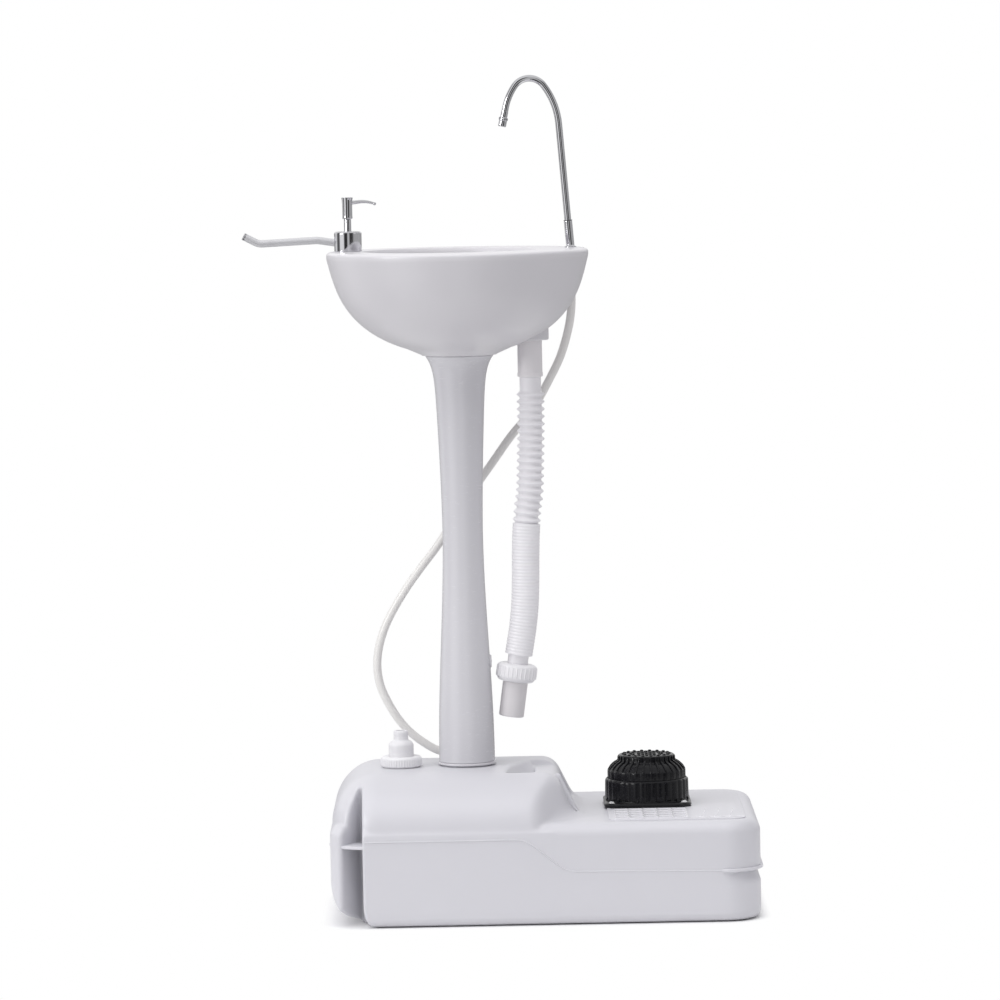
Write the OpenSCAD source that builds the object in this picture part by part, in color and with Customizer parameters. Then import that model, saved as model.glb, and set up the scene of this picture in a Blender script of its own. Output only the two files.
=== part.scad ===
/* [Tank] */
// Length of the tank, left to right
tank_l = 510; // [490:1:530]
// Width of the tank, front to back
tank_w = 310; // [296:1:330]
// Height of the low deck that carries the foot pump
low_h = 120; // [116:1:126]
// Height of the tall section that carries the column
tall_h = 174; // [170:1:182]
// Length of the tall section along its top
tall_l = 268; // [262:1:276]
// Thickness of the blow-moulded wall
wall = 4; // [3:0.5:5]
// Corner radius of the tank seen from above
plan_r = 42; // [38:1:46]
// Radius of the low deck's upper edge
edge_r = 16; // [12:1:18]
// Radius of the edge that meets the floor
foot_r = 12; // [10:1:15]
// Depth of the tall section's rounded front and back shoulders
loaf_w = 90; // [84:1:94]
// Length of the tall section's rounded left end
loaf_end = 56; // [50:1:60]
// Height of the rounded shoulders
loaf_h = 60; // [56:1:64]
// Height of the belt line where the upper half steps in
belt_z = 112; // [106:1:114]
// How far the upper half steps in at the belt line
belt_step = 2; // [1:0.5:3]
// How far the step face leans out towards the low deck
step_run = 27; // [22:1:32]
// Distance from the left end to the corner groove's sharp edge
groove_x = 41; // [38:1:46]
// Depth of the corner groove
groove_d = 30; // [24:1:34]
// Thickness of the moulding fins at the parting line
fin_t = 3.5; // [2.5:0.5:5]
// How far the right-hand fin stands out
fin_out = 3; // [2:0.5:4]
// Height of the left parting fin
fin_left_z = 94; // [88:1:98]
// Height of the right parting fin
fin_right_z = 60; // [54:1:66]

/* [Handle] */
// Length of the hand slot, front to back
slot_l = 104; // [96:1:112]
// Width of the hand slot
slot_w = 31; // [28:1:34]
// Thickness of the handle bar above the grip
bar_t = 18; // [16:1:20]
// Width of the handle bar
bar_w = 23; // [21:1:26]
// Depth of the hand pocket below the tall top
slot_depth = 46; // [42:1:48]

/* [Tread] */
// Length of the raised tread area on the low deck
tread_l = 162; // [156:1:166]
// Width of the raised tread area
tread_w = 246; // [236:1:250]
// How far the raised tread area reaches in front of the tank's middle
tread_front = 135; // [130:1:138]
// Height of the raised tread area
tread_h = 1.5; // [1:0.5:2]
// Pitch of the tread grid along the tank
grid_x = 17.3; // [16:0.1:18]
// Pitch of the tread grid across the tank
grid_y = 22; // [20:0.5:22]
// Width of one grid bar
grid_bar = 2.4; // [2:0.2:3]

/* [Column] */
// Distance from the tank's left end to the column's axis
col_off = 164; // [158:1:168]
// Height of the column above its foot ring
col_h = 489.5; // [470:0.5:510]
// Radius of the column at its waist
waist_r = 24; // [23:0.5:26]
// Height of the waist above the column's lower end
waist_z = 282; // [270:1:294]
// How much the column swells at its lower end
foot_swell = 9.2; // [8:0.2:10]
// How much the column swells below its flare
top_swell = 7.5; // [6:0.5:9]
// How much the flare adds at the very top
top_flare = 10; // [8:0.5:12]
// Bore of the column, as a radius
col_bore = 20.3; // [19:0.1:20.6]
// Radius of the plug that stands in the tank's socket
plug_r = 27; // [25:0.5:28]
// Depth of the socket in the tank
plug_l = 40; // [34:1:42]
// Radius of the foot ring
ring_r = 34.7; // [34:0.1:36]
// Height of the foot ring
ring_h = 4.5; // [3.5:0.5:6]
// Height of the round cover plug above the column's lower end
button_z = 120; // [100:1:140]
// Radius of the cover plug
button_r = 8; // [6:0.5:9]

/* [Basin] */
// Radius of the basin at its rim
rim_r = 156.6; // [152:0.2:160]
// Depth of the basin from its underside to the rim
basin_h = 125; // [122:1:128]
// Height of the upright band under the rim
rim_band = 8; // [6:0.5:10]
// Inward taper of the basin's wall, in mm for each mm of depth
basin_taper = 0.25; // [0.22:0.01:0.28]
// How square the basin's side profile is
basin_power = 3.3; // [3:0.1:3.6]
// Radius of the neck that stands on the column
neck_r = 45; // [44:0.5:48]
// Thickness of the basin's outer shell
shell_t = 3; // [2.5:0.25:3.5]
// Thickness of the basin's deck and inner bowl
bowl_t = 3.2; // [2.8:0.2:3.6]
// Radius of the bowl's opening
bowl_r = 105; // [100:1:107]
// Distance of the bowl's centre from the column's axis, to the left
bowl_off = 9; // [7:1:11]
// Depth of the bowl below the deck
bowl_d = 81; // [76:1:84]
// Radius of the bowl's flat floor
floor_r = 70; // [68:1:72]
// Length of the spigot that holds the basin in the column
spigot_l = 40; // [30:1:50]

/* [Drain] */
// Distance of the strainer from the column's axis
strainer_x = 42; // [40:1:44]
// Radius of the strainer's flange
strainer_r = 17; // [16:0.5:17.5]
// Distance of the drain pipe from the column's axis
drain_x = 84.5; // [83:0.5:86]
// Height of the flat drain channel under the bowl
sump_h = 11; // [10:0.5:12]
// Outer radius of the drain spigot
drain_spigot_r = 12.6; // [12:0.1:13]
// Radius of the round collar under the basin
collar_r = 23; // [22:0.5:24]
// Depth of the collar's underside below the basin's neck line
collar_drop = 16; // [14:0.5:18]
// Outer radius of the tailpiece
tail_r = 15; // [14.6:0.1:15.6]
// Length of the tailpiece
tail_l = 44; // [40:1:50]
// Radius of the union nut at the hose's lower end
nut_r = 24.5; // [22:0.5:26]
// Height of the union nut
nut_h = 24; // [20:1:26]
// Outer radius of the outlet pipe
outlet_r = 15; // [13:0.5:16]
// Length of the outlet pipe that shows below the nut
outlet_l = 40; // [30:1:46]

/* [Hoses] */
// Outer radius of the drain hose over its ribs
rib_r = 16.8; // [16:0.1:17.4]
// Radius between the ribs of the open stretch
root_r = 13.4; // [13:0.1:14]
// Bore of the drain hose, as a radius
hose_bore = 10; // [9:0.5:10.5]
// Ribs in the open, stretched part of the drain hose
open_ribs = 18; // [14:1:22]
// Ribs in the closed-up part of the drain hose
closed_ribs = 40; // [30:1:50]
// Outer radius of the supply hose
supply_r = 5; // [4.5:0.1:5.5]

/* [Spout] */
// Distance of the spout from the column's axis, to the right
spout_x = 136; // [134:1:138]
// Distance of the spout behind the column's axis
spout_y = 35; // [32:1:38]
// Outer radius of the spout's tube
spout_r = 4.1; // [3.8:0.1:4.4]
// Wall of the spout's tube
spout_t = 0.9; // [0.7:0.1:1.1]
// Height above the deck at which the spout's foot seats in its sleeve
spout_seat = 5; // [4:0.5:8]
// Length of the spout's straight leg above the deck
leg_l = 149; // [140:1:160]
// Lean of the spout's leg towards the bowl, in degrees
lean = 4.4; // [3:0.1:6]
// Radius of the gooseneck's first, slow bend
bend_a = 87.7; // [80:0.1:95]
// Turn of the first bend, in degrees
bend_a_turn = 32.8; // [30:0.1:36]
// Radius of the tight bend at the top
bend_b = 21.5; // [20:0.5:24]
// Turn of the tight bend, in degrees
bend_b_turn = 107.8; // [100:0.1:112]
// Radius of the bend down to the tip
bend_c = 70; // [60:1:80]
// Turn of the bend down to the tip, in degrees
bend_c_turn = 23; // [18:0.1:28]
// Straight run between the last bend and the aerator
tip_run = 4; // [2:0.5:8]
// Height of the sleeve that the spout turns in
sleeve_h = 32; // [26:1:38]
// Outer radius of the sleeve
sleeve_r = 5.4; // [5.2:0.1:6]
// Radius of the aerator
aerator_r = 6; // [5.5:0.1:7]
// Length of the aerator
aerator_l = 19; // [15:1:22]

/* [Soap pump] */
// Distance of the soap pump from the column's axis, to the left
soap_x = 131; // [129:1:132]
// Distance of the soap pump behind the column's axis
soap_y = 25; // [22:1:28]
// Radius of the soap pump's collar
soap_r = 16.5; // [15.5:0.5:17]
// Height of the soap pump's collar
soap_h = 24; // [22:1:28]
// Radius of the soap pump's stem
stem_r = 4.4; // [4:0.1:4.6]
// Length of stem that shows above the collar at rest
stem_show = 15; // [13:1:18]
// Height of the soap pump's head
head_h = 26; // [24:1:30]
// Radius of the soap pump's head
head_r = 6.4; // [6:0.1:7]
// Reach of the soap nozzle from the head's axis
nozzle_l = 33; // [28:1:38]
// Travel of the soap pump
soap_stroke = 10; // [6:1:11]

/* [Towel arm] */
// Distance of the towel arm's post from the column's axis, to the left
towel_x = 126; // [124:1:128]
// Distance of the post behind the column's axis
towel_y = 65; // [63:1:67]
// Radius of the towel arm's rod
towel_r = 4.5; // [4:0.1:4.8]
// Length of the rising first run
towel_a = 36; // [30:1:42]
// Length of the long second run
towel_b = 64; // [56:1:72]
// Length of the turned-up tip
towel_c = 16; // [12:1:20]

/* [Fill cap] */
// Distance from the tank's left end to the cap's axis
cap_off = 85; // [84:1:88]
// Distance of the cap's axis in front of the column's axis
cap_front = 10; // [6:1:14]
// Radius of the cap's ring
cap_r = 25; // [24.6:0.2:26]
// Height of the cap's ring
cap_h = 13; // [12:0.5:14]
// Outer radius of the filler neck
fill_r = 18; // [17.5:0.1:18.5]
// Height of the filler neck
fill_h = 8.5; // [8:0.1:9]
// Radius of the cap's boss
boss_r = 15; // [14:0.5:16]
// Height of the cap's boss
boss_h = 19; // [16:1:22]
// Radius of the cap's nipple
nipple_r = 8.8; // [8:0.1:9.4]
// Height of the cap's nipple
nipple_h = 12; // [10:1:15]

/* [Foot pump] */
// Distance from the tank's left end to the pump's axis
pump_off = 380; // [376:1:382]
// Distance of the pump's axis behind the column's axis
pump_back = 15; // [10:1:18]
// Width of the pump's base plate
plate_w = 105; // [102:1:107]
// Thickness of the pump's base plate
plate_t = 4.5; // [4:0.5:5.5]
// Cut corner of the base plate
plate_cut = 12; // [10:1:14]
// Radius of the lower cylinder between its flutes
pump_r = 49.4; // [49.2:0.1:50]
// Height of the lower cylinder above the base plate
pump_h = 26; // [24:1:30]
// Radius of the plunger between its flutes
plunger_r = 46.2; // [45.6:0.1:46.4]
// Height of the plunger's straight side above the lower cylinder
plunger_side = 10; // [8:1:12]
// Radius of the plunger's round top
top_r = 30.3; // [28:0.1:32]
// Height of the plunger's cone and top above its straight side
plunger_rise = 18; // [16:1:20]
// Number of flutes round the pump
flutes = 30; // [24:1:36]
// Depth of one flute
flute_d = 0.8; // [0.6:0.1:0.9]
// Travel of the pump
pump_stroke = 16; // [10:1:17]
// Distance of each screw from the pump's axis, along and across
screw_p = 42.5; // [42:0.5:43.5]
// Radius of a screw's head
screw_head_r = 4.2; // [3.6:0.1:4.4]
// Radius of the pump's body below the deck
under_r = 32; // [28:1:34]

/* [Fits] */
// Running clearance of turning and sliding fits
fit = 0.1; // [0.05:0.01:0.15]
// Clearance round pieces that are fixed
gap = 0.3; // [0.2:0.05:0.5]

/* [Hidden] */
$fn = 64;

hull_fn = 32;
bend_step = 9;
rod_fn = 16;
core_fn = 16;
eps = 0.01;
over = 1;
far = 400;

left_x = -tank_l / 2;
col_x = left_x + col_off;
step_x = left_x + tall_l;
cap_x = left_x + cap_off;
cap_y = -cap_front;
pump_x = left_x + pump_off;
pump_y = pump_back;
tread_z = low_h + tread_h;
upper_w = tank_w - 2 * belt_step;

col_z = tall_h + ring_h;
col_top = col_z + col_h;
deck_z = col_top + basin_h;
deck_bottom = deck_z - bowl_t;
bowl_x = col_x - bowl_off;
floor_z = deck_z - bowl_d;
floor_bottom = floor_z - bowl_t;
sump_z = floor_bottom - sump_h;
collar_z = col_top + collar_drop;
tail_z = collar_z - tail_l;
rim_curve = 4;

white = [0.90, 0.90, 0.91];
off_white = [0.93, 0.93, 0.92];
chrome = [0.80, 0.81, 0.83];
silver = [0.74, 0.75, 0.77];
black = [0.08, 0.08, 0.09];
seal_grey = [0.25, 0.25, 0.26];

// ---- shared forms ----------------------------------------------------------

module ring(r_out, r_in, h) {
    difference() {
        cylinder(r = r_out, h = h);
        translate([0, 0, -over]) cylinder(r = r_in, h = h + 2 * over);
    }
}

// a straight pipe along +Z, with whatever follows set on its far end
module straight(l, r, t) {
    linear_extrude(l) annulus(r, t);
    translate([0, 0, l]) children();
}

// a pipe that starts along +Z and bends towards -X, with its children on the far end
module bend(bend_r, angle, r, t) {
    translate([-bend_r, 0, 0]) {
        rotate([90, 0, 0]) rotate_extrude(angle = angle) translate([bend_r, 0]) annulus(r, t);
        rotate([0, -angle, 0]) translate([bend_r, 0, 0]) children();
    }
}

module annulus(r, t) {
    difference() {
        circle(r = r);
        circle(r = r - t);
    }
}

// a rounded rectangle of exact arcs
module rounded(size, r) {
    square([size[0] - 2 * r, size[1]], center = true);
    square([size[0], size[1] - 2 * r], center = true);
    for (sx = [-1, 1], sy = [-1, 1])
        translate([sx * (size[0] / 2 - r), sy * (size[1] / 2 - r)]) circle(r = r);
}

module cut_square(w, cut) {
    h = w / 2;
    polygon([[-h, -h + cut], [-h + cut, -h], [h - cut, -h], [h, -h + cut],
        [h, h - cut], [h - cut, h], [-h + cut, h], [-h, h - cut]]);
}

// a round outline with shallow waves
module fluted(r) {
    steps = flutes * 6;
    polygon([for (i = [0 : steps - 1])
        let (a = i * 360 / steps, rr = r + flute_d * abs(cos(a * flutes / 2)))
        [rr * cos(a), rr * sin(a)]]);
}

// ---- tubes swept along a route ----------------------------------------------

function unit(v) = v / norm(v);
function heading(p, i) = unit(p[min(i + 1, len(p) - 1)] - p[max(i - 1, 0)]);
function side_of(t) = unit(cross([0, 1, 0], t));
function loop_at(c, t, r, n) =
    let (u = side_of(t), v = cross(t, u))
    [for (k = [0 : n - 1]) c + r * (cos(k * 360 / n) * u + sin(k * 360 / n) * v)];
function flat_list(l) = [for (a = l, b = a) b];
function wall_faces(m, n, closed) =
    [for (i = [0 : closed ? m - 1 : m - 2], k = [0 : n - 1])
        let (a = i * n + k, b = i * n + (k + 1) % n,
            c = ((i + 1) % m) * n + (k + 1) % n, d = ((i + 1) % m) * n + k)
        each [[a, b, c], [a, c, d]]];
function cap_faces(m, n) =
    [for (k = [1 : n - 2]) each [[0, k + 1, k],
        [(m - 1) * n, (m - 1) * n + k, (m - 1) * n + k + 1]]];

// a solid round tube through the points of a route
module swept(route, r, n) {
    m = len(route);
    polyhedron(
        points = flat_list([for (i = [0 : m - 1]) loop_at(route[i], heading(route, i), r, n)]),
        faces = [for (f = concat(wall_faces(m, n, false), cap_faces(m, n))) [f[2], f[1], f[0]]]);
}

// a hollow round tube through the points of a route
module swept_tube(route, r, bore, n) {
    m = len(route);
    rings = concat([for (i = [0 : m - 1]) loop_at(route[i], heading(route, i), r, n)],
        [for (i = [m - 1 : -1 : 0]) loop_at(route[i], heading(route, i), bore, n)]);
    polyhedron(points = flat_list(rings),
        faces = [for (f = wall_faces(2 * m, n, true)) [f[2], f[1], f[0]]]);
}

// points [x, 0, z] along a bent rod that starts at p with its heading a degrees from +Z to -X.
// A move is [length] for a straight run, or [radius, angle] for a bend towards -X.
function trace(moves, p, a, i = 0) =
    i == len(moves) ? [] :
    let (m = moves[i], bent = len(m) == 2, s = bent ? sign(m[1]) : 0,
        n = bent ? ceil(abs(m[1]) / bend_step) : 1,
        c = bent ? p - s * m[0] * [cos(a), 0, sin(a)] : p,
        run = [for (k = [1 : n]) let (b = a + (bent ? m[1] * k / n : 0))
            bent ? c + s * m[0] * [cos(b), 0, sin(b)] : p + m[0] * [-sin(a), 0, cos(a)]],
        turned = a + (bent ? m[1] : 0))
    concat(run, trace(moves, run[n - 1], turned, i + 1));
function turned_by(moves) = [for (m = moves) len(m) == 2 ? m[1] : 0] * [for (m = moves) 1];

// a point of a smooth curve through hand-chosen points, at s = 0 to len - 1
function smooth(p, s) =
    let (i = min(floor(s), len(p) - 2), f = s - i, a = p[max(i - 1, 0)], b = p[i],
        c = p[i + 1], d = p[min(i + 2, len(p) - 1)])
    0.5 * (2 * b + (c - a) * f + (2 * a - 5 * b + 4 * c - d) * f * f
        + (3 * b - a - 3 * c + d) * f * f * f);
function smooth_heading(p, s) =
    unit(smooth(p, min(s + 0.05, len(p) - 1)) - smooth(p, max(s - 0.05, 0)));

// ---- hose routes, chosen by hand -------------------------------------------

// The heights are given for the column's usual height, and stretch with it.
usual_low = 178.5;
usual_high = 793;
function hung(z) = col_z + (z - usual_low) * (deck_z - col_z) / (usual_high - usual_low);

// supply hose: from the spout's tail, behind the drain hose and the column, to the tank
supply_route = [for (p = [
    [136, 35, 762], [136, 35, 744], [136, 35, 726], [134, 38, 706], [129, 42, 684], [121, 44, 660],
    [110, 46, 638], [95, 46, 611], [80, 46, 589], [60, 46, 566], [36, 46, 533],
    [14, 46, 503], [-8, 46, 470], [-29, 46, 438], [-50, 46, 411], [-68, 46, 387],
    [-84, 46, 362], [-96, 46, 339], [-104, 46, 315], [-107, 46, 291], [-104, 46, 268],
    [-96, 47, 248], [-84, 48, 227], [-70, 49, 210], [-53, 50, 196], [-36, 51, 186],
    [-20, 52, 182], [-10, 52, 182]])
    [col_x + p[0], p[1], hung(p[2])]];

// drain hose: the open ribs hang straight, the closed ribs lean towards the column
// Each point is given by its shift to the column and its drop below the tailpiece.
usual_drop = 466;
drop_share = (tail_z - tall_h) / usual_drop;
drain_route = [for (p = [
    [0, 16], [0, 28], [0.5, 64], [1.5, 100], [3, 136], [6.2, 160], [8.5, 188], [9.5, 216],
    [10.1, 244], [11.3, 272], [14.3, 300], [20, 334]])
    [col_x + drain_x - p[0], 0, tail_z - p[1] * drop_share]];
open_end = 4.6;
drain_end = drain_route[len(drain_route) - 1];
outlet_tilt = 8;
neck_len = 15;
neck_out = 12.4;
outlet_dir = [-sin(outlet_tilt), 0, -cos(outlet_tilt)];

// ---- tank --------------------------------------------------------------------

module torus(ring_radius, r, fn) {
    rotate_extrude($fn = fn) translate([ring_radius, 0]) circle(r = r, $fn = fn);
}

// the low body, shrunk by g on every side
module low_form(g, fn) {
    hull()
        for (sx = [-1, 1], sy = [-1, 1])
            translate([sx * (tank_l / 2 - plan_r), sy * (tank_w / 2 - plan_r), 0]) {
                translate([0, 0, low_h - edge_r]) torus(plan_r - edge_r, edge_r - g, fn);
                translate([0, 0, foot_r]) torus(plan_r - foot_r, foot_r - g, fn);
            }
}

// the band under the belt line, below the tall section only
module belt_form(fn) {
    lip_r = 3;
    hull()
        for (sy = [-1, 1]) {
            translate([left_x + plan_r, sy * (tank_w / 2 - plan_r), belt_z - lip_r])
                torus(plan_r - lip_r, lip_r, fn);
            translate([left_x + plan_r, sy * (tank_w / 2 - plan_r), low_h / 2])
                cylinder(r = plan_r, h = lip_r, $fn = fn);
            translate([step_x - plan_r, sy * (tank_w / 2 - plan_r), low_h / 2])
                cylinder(r = plan_r, h = lip_r, $fn = fn);
            translate([step_x - plan_r, sy * (tank_w / 2 - plan_r), belt_z - lip_r])
                torus(plan_r - lip_r, lip_r, fn);
        }
}

// the tall section with its rounded shoulders and leaning step face, shrunk by g
module tall_form(g, fn) {
    base_z = tall_h - loaf_h;
    step_r = 10;
    nose = 18;
    hull()
        for (sy = [-1, 1]) {
            translate([left_x + belt_step + loaf_end, sy * (upper_w / 2 - loaf_w), base_z])
                scale([loaf_end - g, loaf_w - g, loaf_h - g]) sphere(r = 1, $fn = fn);
            translate([step_x - step_run, sy * (upper_w / 2 - loaf_w), base_z])
                scale([nose - g, loaf_w - g, loaf_h - g]) sphere(r = 1, $fn = fn);
            translate([step_x - step_r, sy * (upper_w / 2 - loaf_w), tall_h - step_r])
                sphere(r = step_r - g, $fn = fn);
            translate([step_x + step_run - step_r, sy * tank_w / 4, low_h - step_r])
                sphere(r = step_r - g, $fn = fn);
        }
}

bulge_gap = 2;

// plan of one corner groove, grown by g: a sharp wall on its right, a round bulge on its left
module groove_plan(g) {
    difference() {
        translate([left_x, -tank_w / 2 - over]) square([groove_x + g, groove_d + over + g]);
        translate([left_x + groove_x - groove_d - bulge_gap, -tank_w / 2 + groove_d])
            circle(r = groove_d - bulge_gap - g);
        translate([left_x - over, -tank_w / 2 - 2 * over])
            square([groove_x - groove_d - bulge_gap + over, tank_w]);
    }
}

module grooves(g) {
    for (s = [0, 1])
        mirror([0, s, 0]) translate([0, 0, -over]) linear_extrude(tall_h + 2 * over) groove_plan(g);
}

// the web left across each groove by the mould's parting line
module groove_webs() {
    for (s = [0, 1])
        mirror([0, s, 0])
            translate([left_x + groove_x - groove_d - wall, -tank_w / 2 + plan_r / 8, fin_left_z])
                cube([groove_d + wall + over, groove_d, fin_t]);
}

module right_fin() {
    translate([0, 0, fin_right_z])
        linear_extrude(fin_t)
            intersection() {
                rounded([tank_l + 2 * fin_out, tank_w + 2 * fin_out], plan_r + fin_out);
                translate([tank_l / 2 - plan_r, -far / 2]) square([plan_r + fin_out + over, far]);
            }
}

// the hand slot in the top and the grip that opens to the low deck under the bar, grown by g
module hand_profile(g) {
    slot_r = 7;
    top = tall_h + over;
    bottom = tall_h - slot_depth;
    grip_top = tall_h - bar_t;
    translate([step_x - bar_w - slot_w - g, bottom - g])
        square([slot_w + 2 * g, slot_depth + over + g]);
    translate([step_x - bar_w - slot_w / 2, bottom - g])
        square([bar_w + slot_w / 2 + step_run + over, grip_top - bottom + 2 * g]);
}

module hand_pocket(g) {
    translate([0, slot_l / 2 + g, 0])
        rotate([90, 0, 0]) linear_extrude(slot_l + 2 * g) hand_profile(g);
}

module tread() {
    right = tank_l / 2 - edge_r - over;
    y_near = -tread_front;
    grid_n = 5;
    translate([right - tread_l / 2, y_near + tread_w / 2, low_h - over])
        linear_extrude(tread_h + over) rounded([tread_l, tread_w], edge_r);
    grid_x0 = right - tread_l + grid_bar * 3;
    for (i = [0 : grid_n])
        translate([grid_x0 + i * grid_x - grid_bar / 2, y_near + grid_bar * 2, tread_z - eps])
            cube([grid_bar, grid_y * (grid_n - 1) + grid_bar, grid_bar / 3 + eps]);
    for (j = [0 : grid_n - 1])
        translate([grid_x0 - grid_bar / 2, y_near + grid_bar * 2 + j * grid_y, tread_z - eps])
            cube([grid_x * grid_n + grid_bar, grid_bar, grid_bar / 3 + eps]);
}

function screw_spots() = [for (sx = [-1, 1], sy = [-1, 1])
    [pump_x + sx * screw_p, pump_y + sy * screw_p]];
screw_r = 2;
screw_l = 14;
screw_wall = 3;

module tank() {
    socket_r = plug_r + gap;
    color(white) difference() {
        union() {
            low_form(0, hull_fn);
            belt_form(hull_fn);
            tall_form(0, hull_fn);
            tread();
            right_fin();
            translate([cap_x, cap_y, tall_h - wall]) cylinder(r = fill_r, h = wall + fill_h);
        }
        difference() {
            union() {
                low_form(wall, core_fn);
                tall_form(wall, core_fn);
            }
            grooves(wall);
            hand_pocket(wall);
            translate([col_x, 0, tall_h - plug_l - wall - gap])
                cylinder(r = socket_r + wall, h = far);
            for (p = screw_spots())
                translate([p[0], p[1], low_h - screw_l]) cylinder(r = screw_r + screw_wall, h = far);
        }
        difference() {
            grooves(0);
            groove_webs();
        }
        hand_pocket(0);
        translate([col_x, 0, tall_h - plug_l - gap]) cylinder(r = socket_r, h = far);
        translate([cap_x, cap_y, tall_h - 2 * wall]) cylinder(r = fill_r - 3.5, h = far);
        translate([pump_x, pump_y, low_h - 3 * wall]) cylinder(r = under_r + gap, h = far);
        for (p = screw_spots())
            translate([p[0], p[1], low_h - screw_l + screw_wall])
                cylinder(r = screw_r + fit, h = far);
        translate([barb_x, barb_y, tall_h - 3 * wall]) cylinder(r = barb_r + gap, h = far);
    }
}

// ---- column --------------------------------------------------------------------

// radius of the column at a height above its lower end
function column_r(h) =
    let (below = max(0, (waist_z - h) / waist_z), above = max(0, (h - waist_z) / (col_h - waist_z)))
    waist_r + foot_swell * pow(sin(90 * below), 2) + top_swell * pow(above, 1.5)
        + top_flare * pow(above, 16);

module column_ring() {
    color(off_white) translate([col_x, 0, tall_h])
        rotate_extrude()
            polygon([[plug_r + gap, 0], [ring_r, 0], [ring_r, ring_h - 1],
                [ring_r - 1, ring_h], [plug_r + gap, ring_h]]);
}

module column() {
    steps = 36;
    color(white) translate([col_x, 0, col_z])
        rotate_extrude()
            polygon(concat(
                [[col_bore, -plug_l - ring_h], [plug_r, -plug_l - ring_h], [plug_r, 0]],
                [for (i = [0 : steps]) [column_r(col_h * i / steps), col_h * i / steps]],
                [[col_bore, col_h]]));
}

module column_button() {
    button_out = 2.4;
    r = column_r(button_z);
    color(white)
        difference() {
            translate([col_x, 0, col_z + button_z]) rotate([0, 90, 0])
                cylinder(r = button_r, h = r + button_out);
            translate([col_x, 0, col_z + button_z - button_r - over])
                cylinder(r = column_r(button_z - button_r) + gap, h = 2 * button_r + 2 * over);
        }
}

// ---- basin --------------------------------------------------------------------

// outer radius of the basin at a depth below its rim
function basin_r(d) =
    let (h = max(0, d - rim_band))
    (rim_r - basin_taper * h) * sqrt(max(0, 1 - pow(h / (basin_h - rim_band + over), basin_power)));

neck_fillet_d = basin_h * 0.935;

// outer side profile of the basin, from the neck up to the rim, shrunk by g
function basin_profile(g) = concat(
    [[neck_r - g, col_top + g * 0.8]],
    [for (d = [neck_fillet_d : -4 : rim_curve + 1]) [basin_r(d) - g, deck_z - d + g * (d / basin_h)]],
    [for (a = [0 : 15 : 90]) [rim_r - rim_curve + (rim_curve) * cos(a) - g,
        deck_z - rim_curve + rim_curve * sin(a)]]);

ledge_r = rim_r - rim_curve - over;

module basin_shell() {
    outer = basin_profile(0);
    inner = basin_profile(shell_t);
    inner_core = [for (p = inner) if (p[1] < deck_bottom - 4) p];
    color(white)
        difference() {
            translate([col_x, 0, 0]) union() {
                rotate_extrude()
                    polygon(concat(outer, [[ledge_r, deck_z], [ledge_r, deck_bottom],
                        [ledge_r - 3, deck_bottom], [ledge_r - 3, deck_bottom - 3]],
                        [for (i = [len(inner_core) - 1 : -1 : 0]) inner_core[i]],
                        [[0, col_top + shell_t * 0.8], [0, col_top]]));
                translate([0, 0, col_top - spigot_l])
                    cylinder(r = col_bore - gap, h = spigot_l + over);
            }
            translate([col_x, 0, col_top - spigot_l - over])
                cylinder(r = col_bore - gap - 4, h = spigot_l + 3 * over);
            translate([col_x + drain_x, 0, col_top - over])
                cylinder(r = drain_spigot_r + gap, h = sump_z - col_top + 2 * over);
            translate([col_x + spout_x, spout_y, col_top])
                cylinder(r = supply_r + 2 * gap, h = basin_h * 0.8);
        }
}

// inner side profile of the bowl, grown by g, from its floor to the deck
function bowl_profile(g) = concat(
    [[0, floor_z - g]],
    [for (a = [0 : 10 : 90]) [floor_r + (bowl_r - 5 - floor_r) * sin(a) + g * sin(a),
        floor_z + (bowl_d * 0.45) * (1 - cos(a)) - g * cos(a)]],
    [[bowl_r - 1.6 + g, deck_z - 5], [bowl_r + g, deck_z - 1.5]]);

module basin_bowl() {
    clear = 0.2;
    color(white) difference() {
        union() {
            translate([col_x, 0, deck_bottom]) cylinder(r = ledge_r - clear, h = bowl_t);
            translate([bowl_x, 0, 0]) rotate_extrude()
                polygon(concat(bowl_profile(bowl_t), [[0, deck_z - 1.5]]));
        }
        translate([bowl_x, 0, 0]) rotate_extrude()
            polygon(concat(bowl_profile(0), [[bowl_r + 1.5, deck_z + eps], [0, deck_z + eps]]));
        translate([col_x + strainer_x, 0, floor_bottom - over])
            cylinder(r = strainer_r - 3, h = far);
        translate([col_x + spout_x, spout_y, deck_bottom - over])
            cylinder(r = sleeve_r + gap, h = far);
        translate([col_x - soap_x, soap_y, deck_bottom - over])
            cylinder(r = soap_neck_r + gap, h = far);
        translate([col_x - towel_x, towel_y, deck_bottom - over])
            cylinder(r = bush_r + fit, h = far);
    }
}

// ---- drain --------------------------------------------------------------------

module drain_strainer() {
    hole_r = 1.6;
    t = 1.2;
    cup_r = strainer_r - 3 - gap;
    color(silver) translate([col_x + strainer_x, 0, floor_z]) difference() {
        union() {
            ring(strainer_r, cup_r - t, t);
            translate([0, 0, -bowl_t]) ring(cup_r, cup_r - t, bowl_t + t);
            translate([0, 0, -bowl_t]) cylinder(r = cup_r, h = t);
        }
        for (k = [0 : 2])
            for (a = [0 : 360 / max(1, 6 * k) : 359])
                rotate(a) translate([k * 4.4, 0, -bowl_t - over]) cylinder(r = hole_r, h = t + 2 * over);
    }
}

module sump_plan(r) {
    for (x = [strainer_x, drain_x]) translate([col_x + x, 0]) circle(r = r);
    translate([col_x + strainer_x, -r]) square([drain_x - strainer_x, 2 * r]);
}

sump_r = 15;
sump_t = 2;

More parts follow.
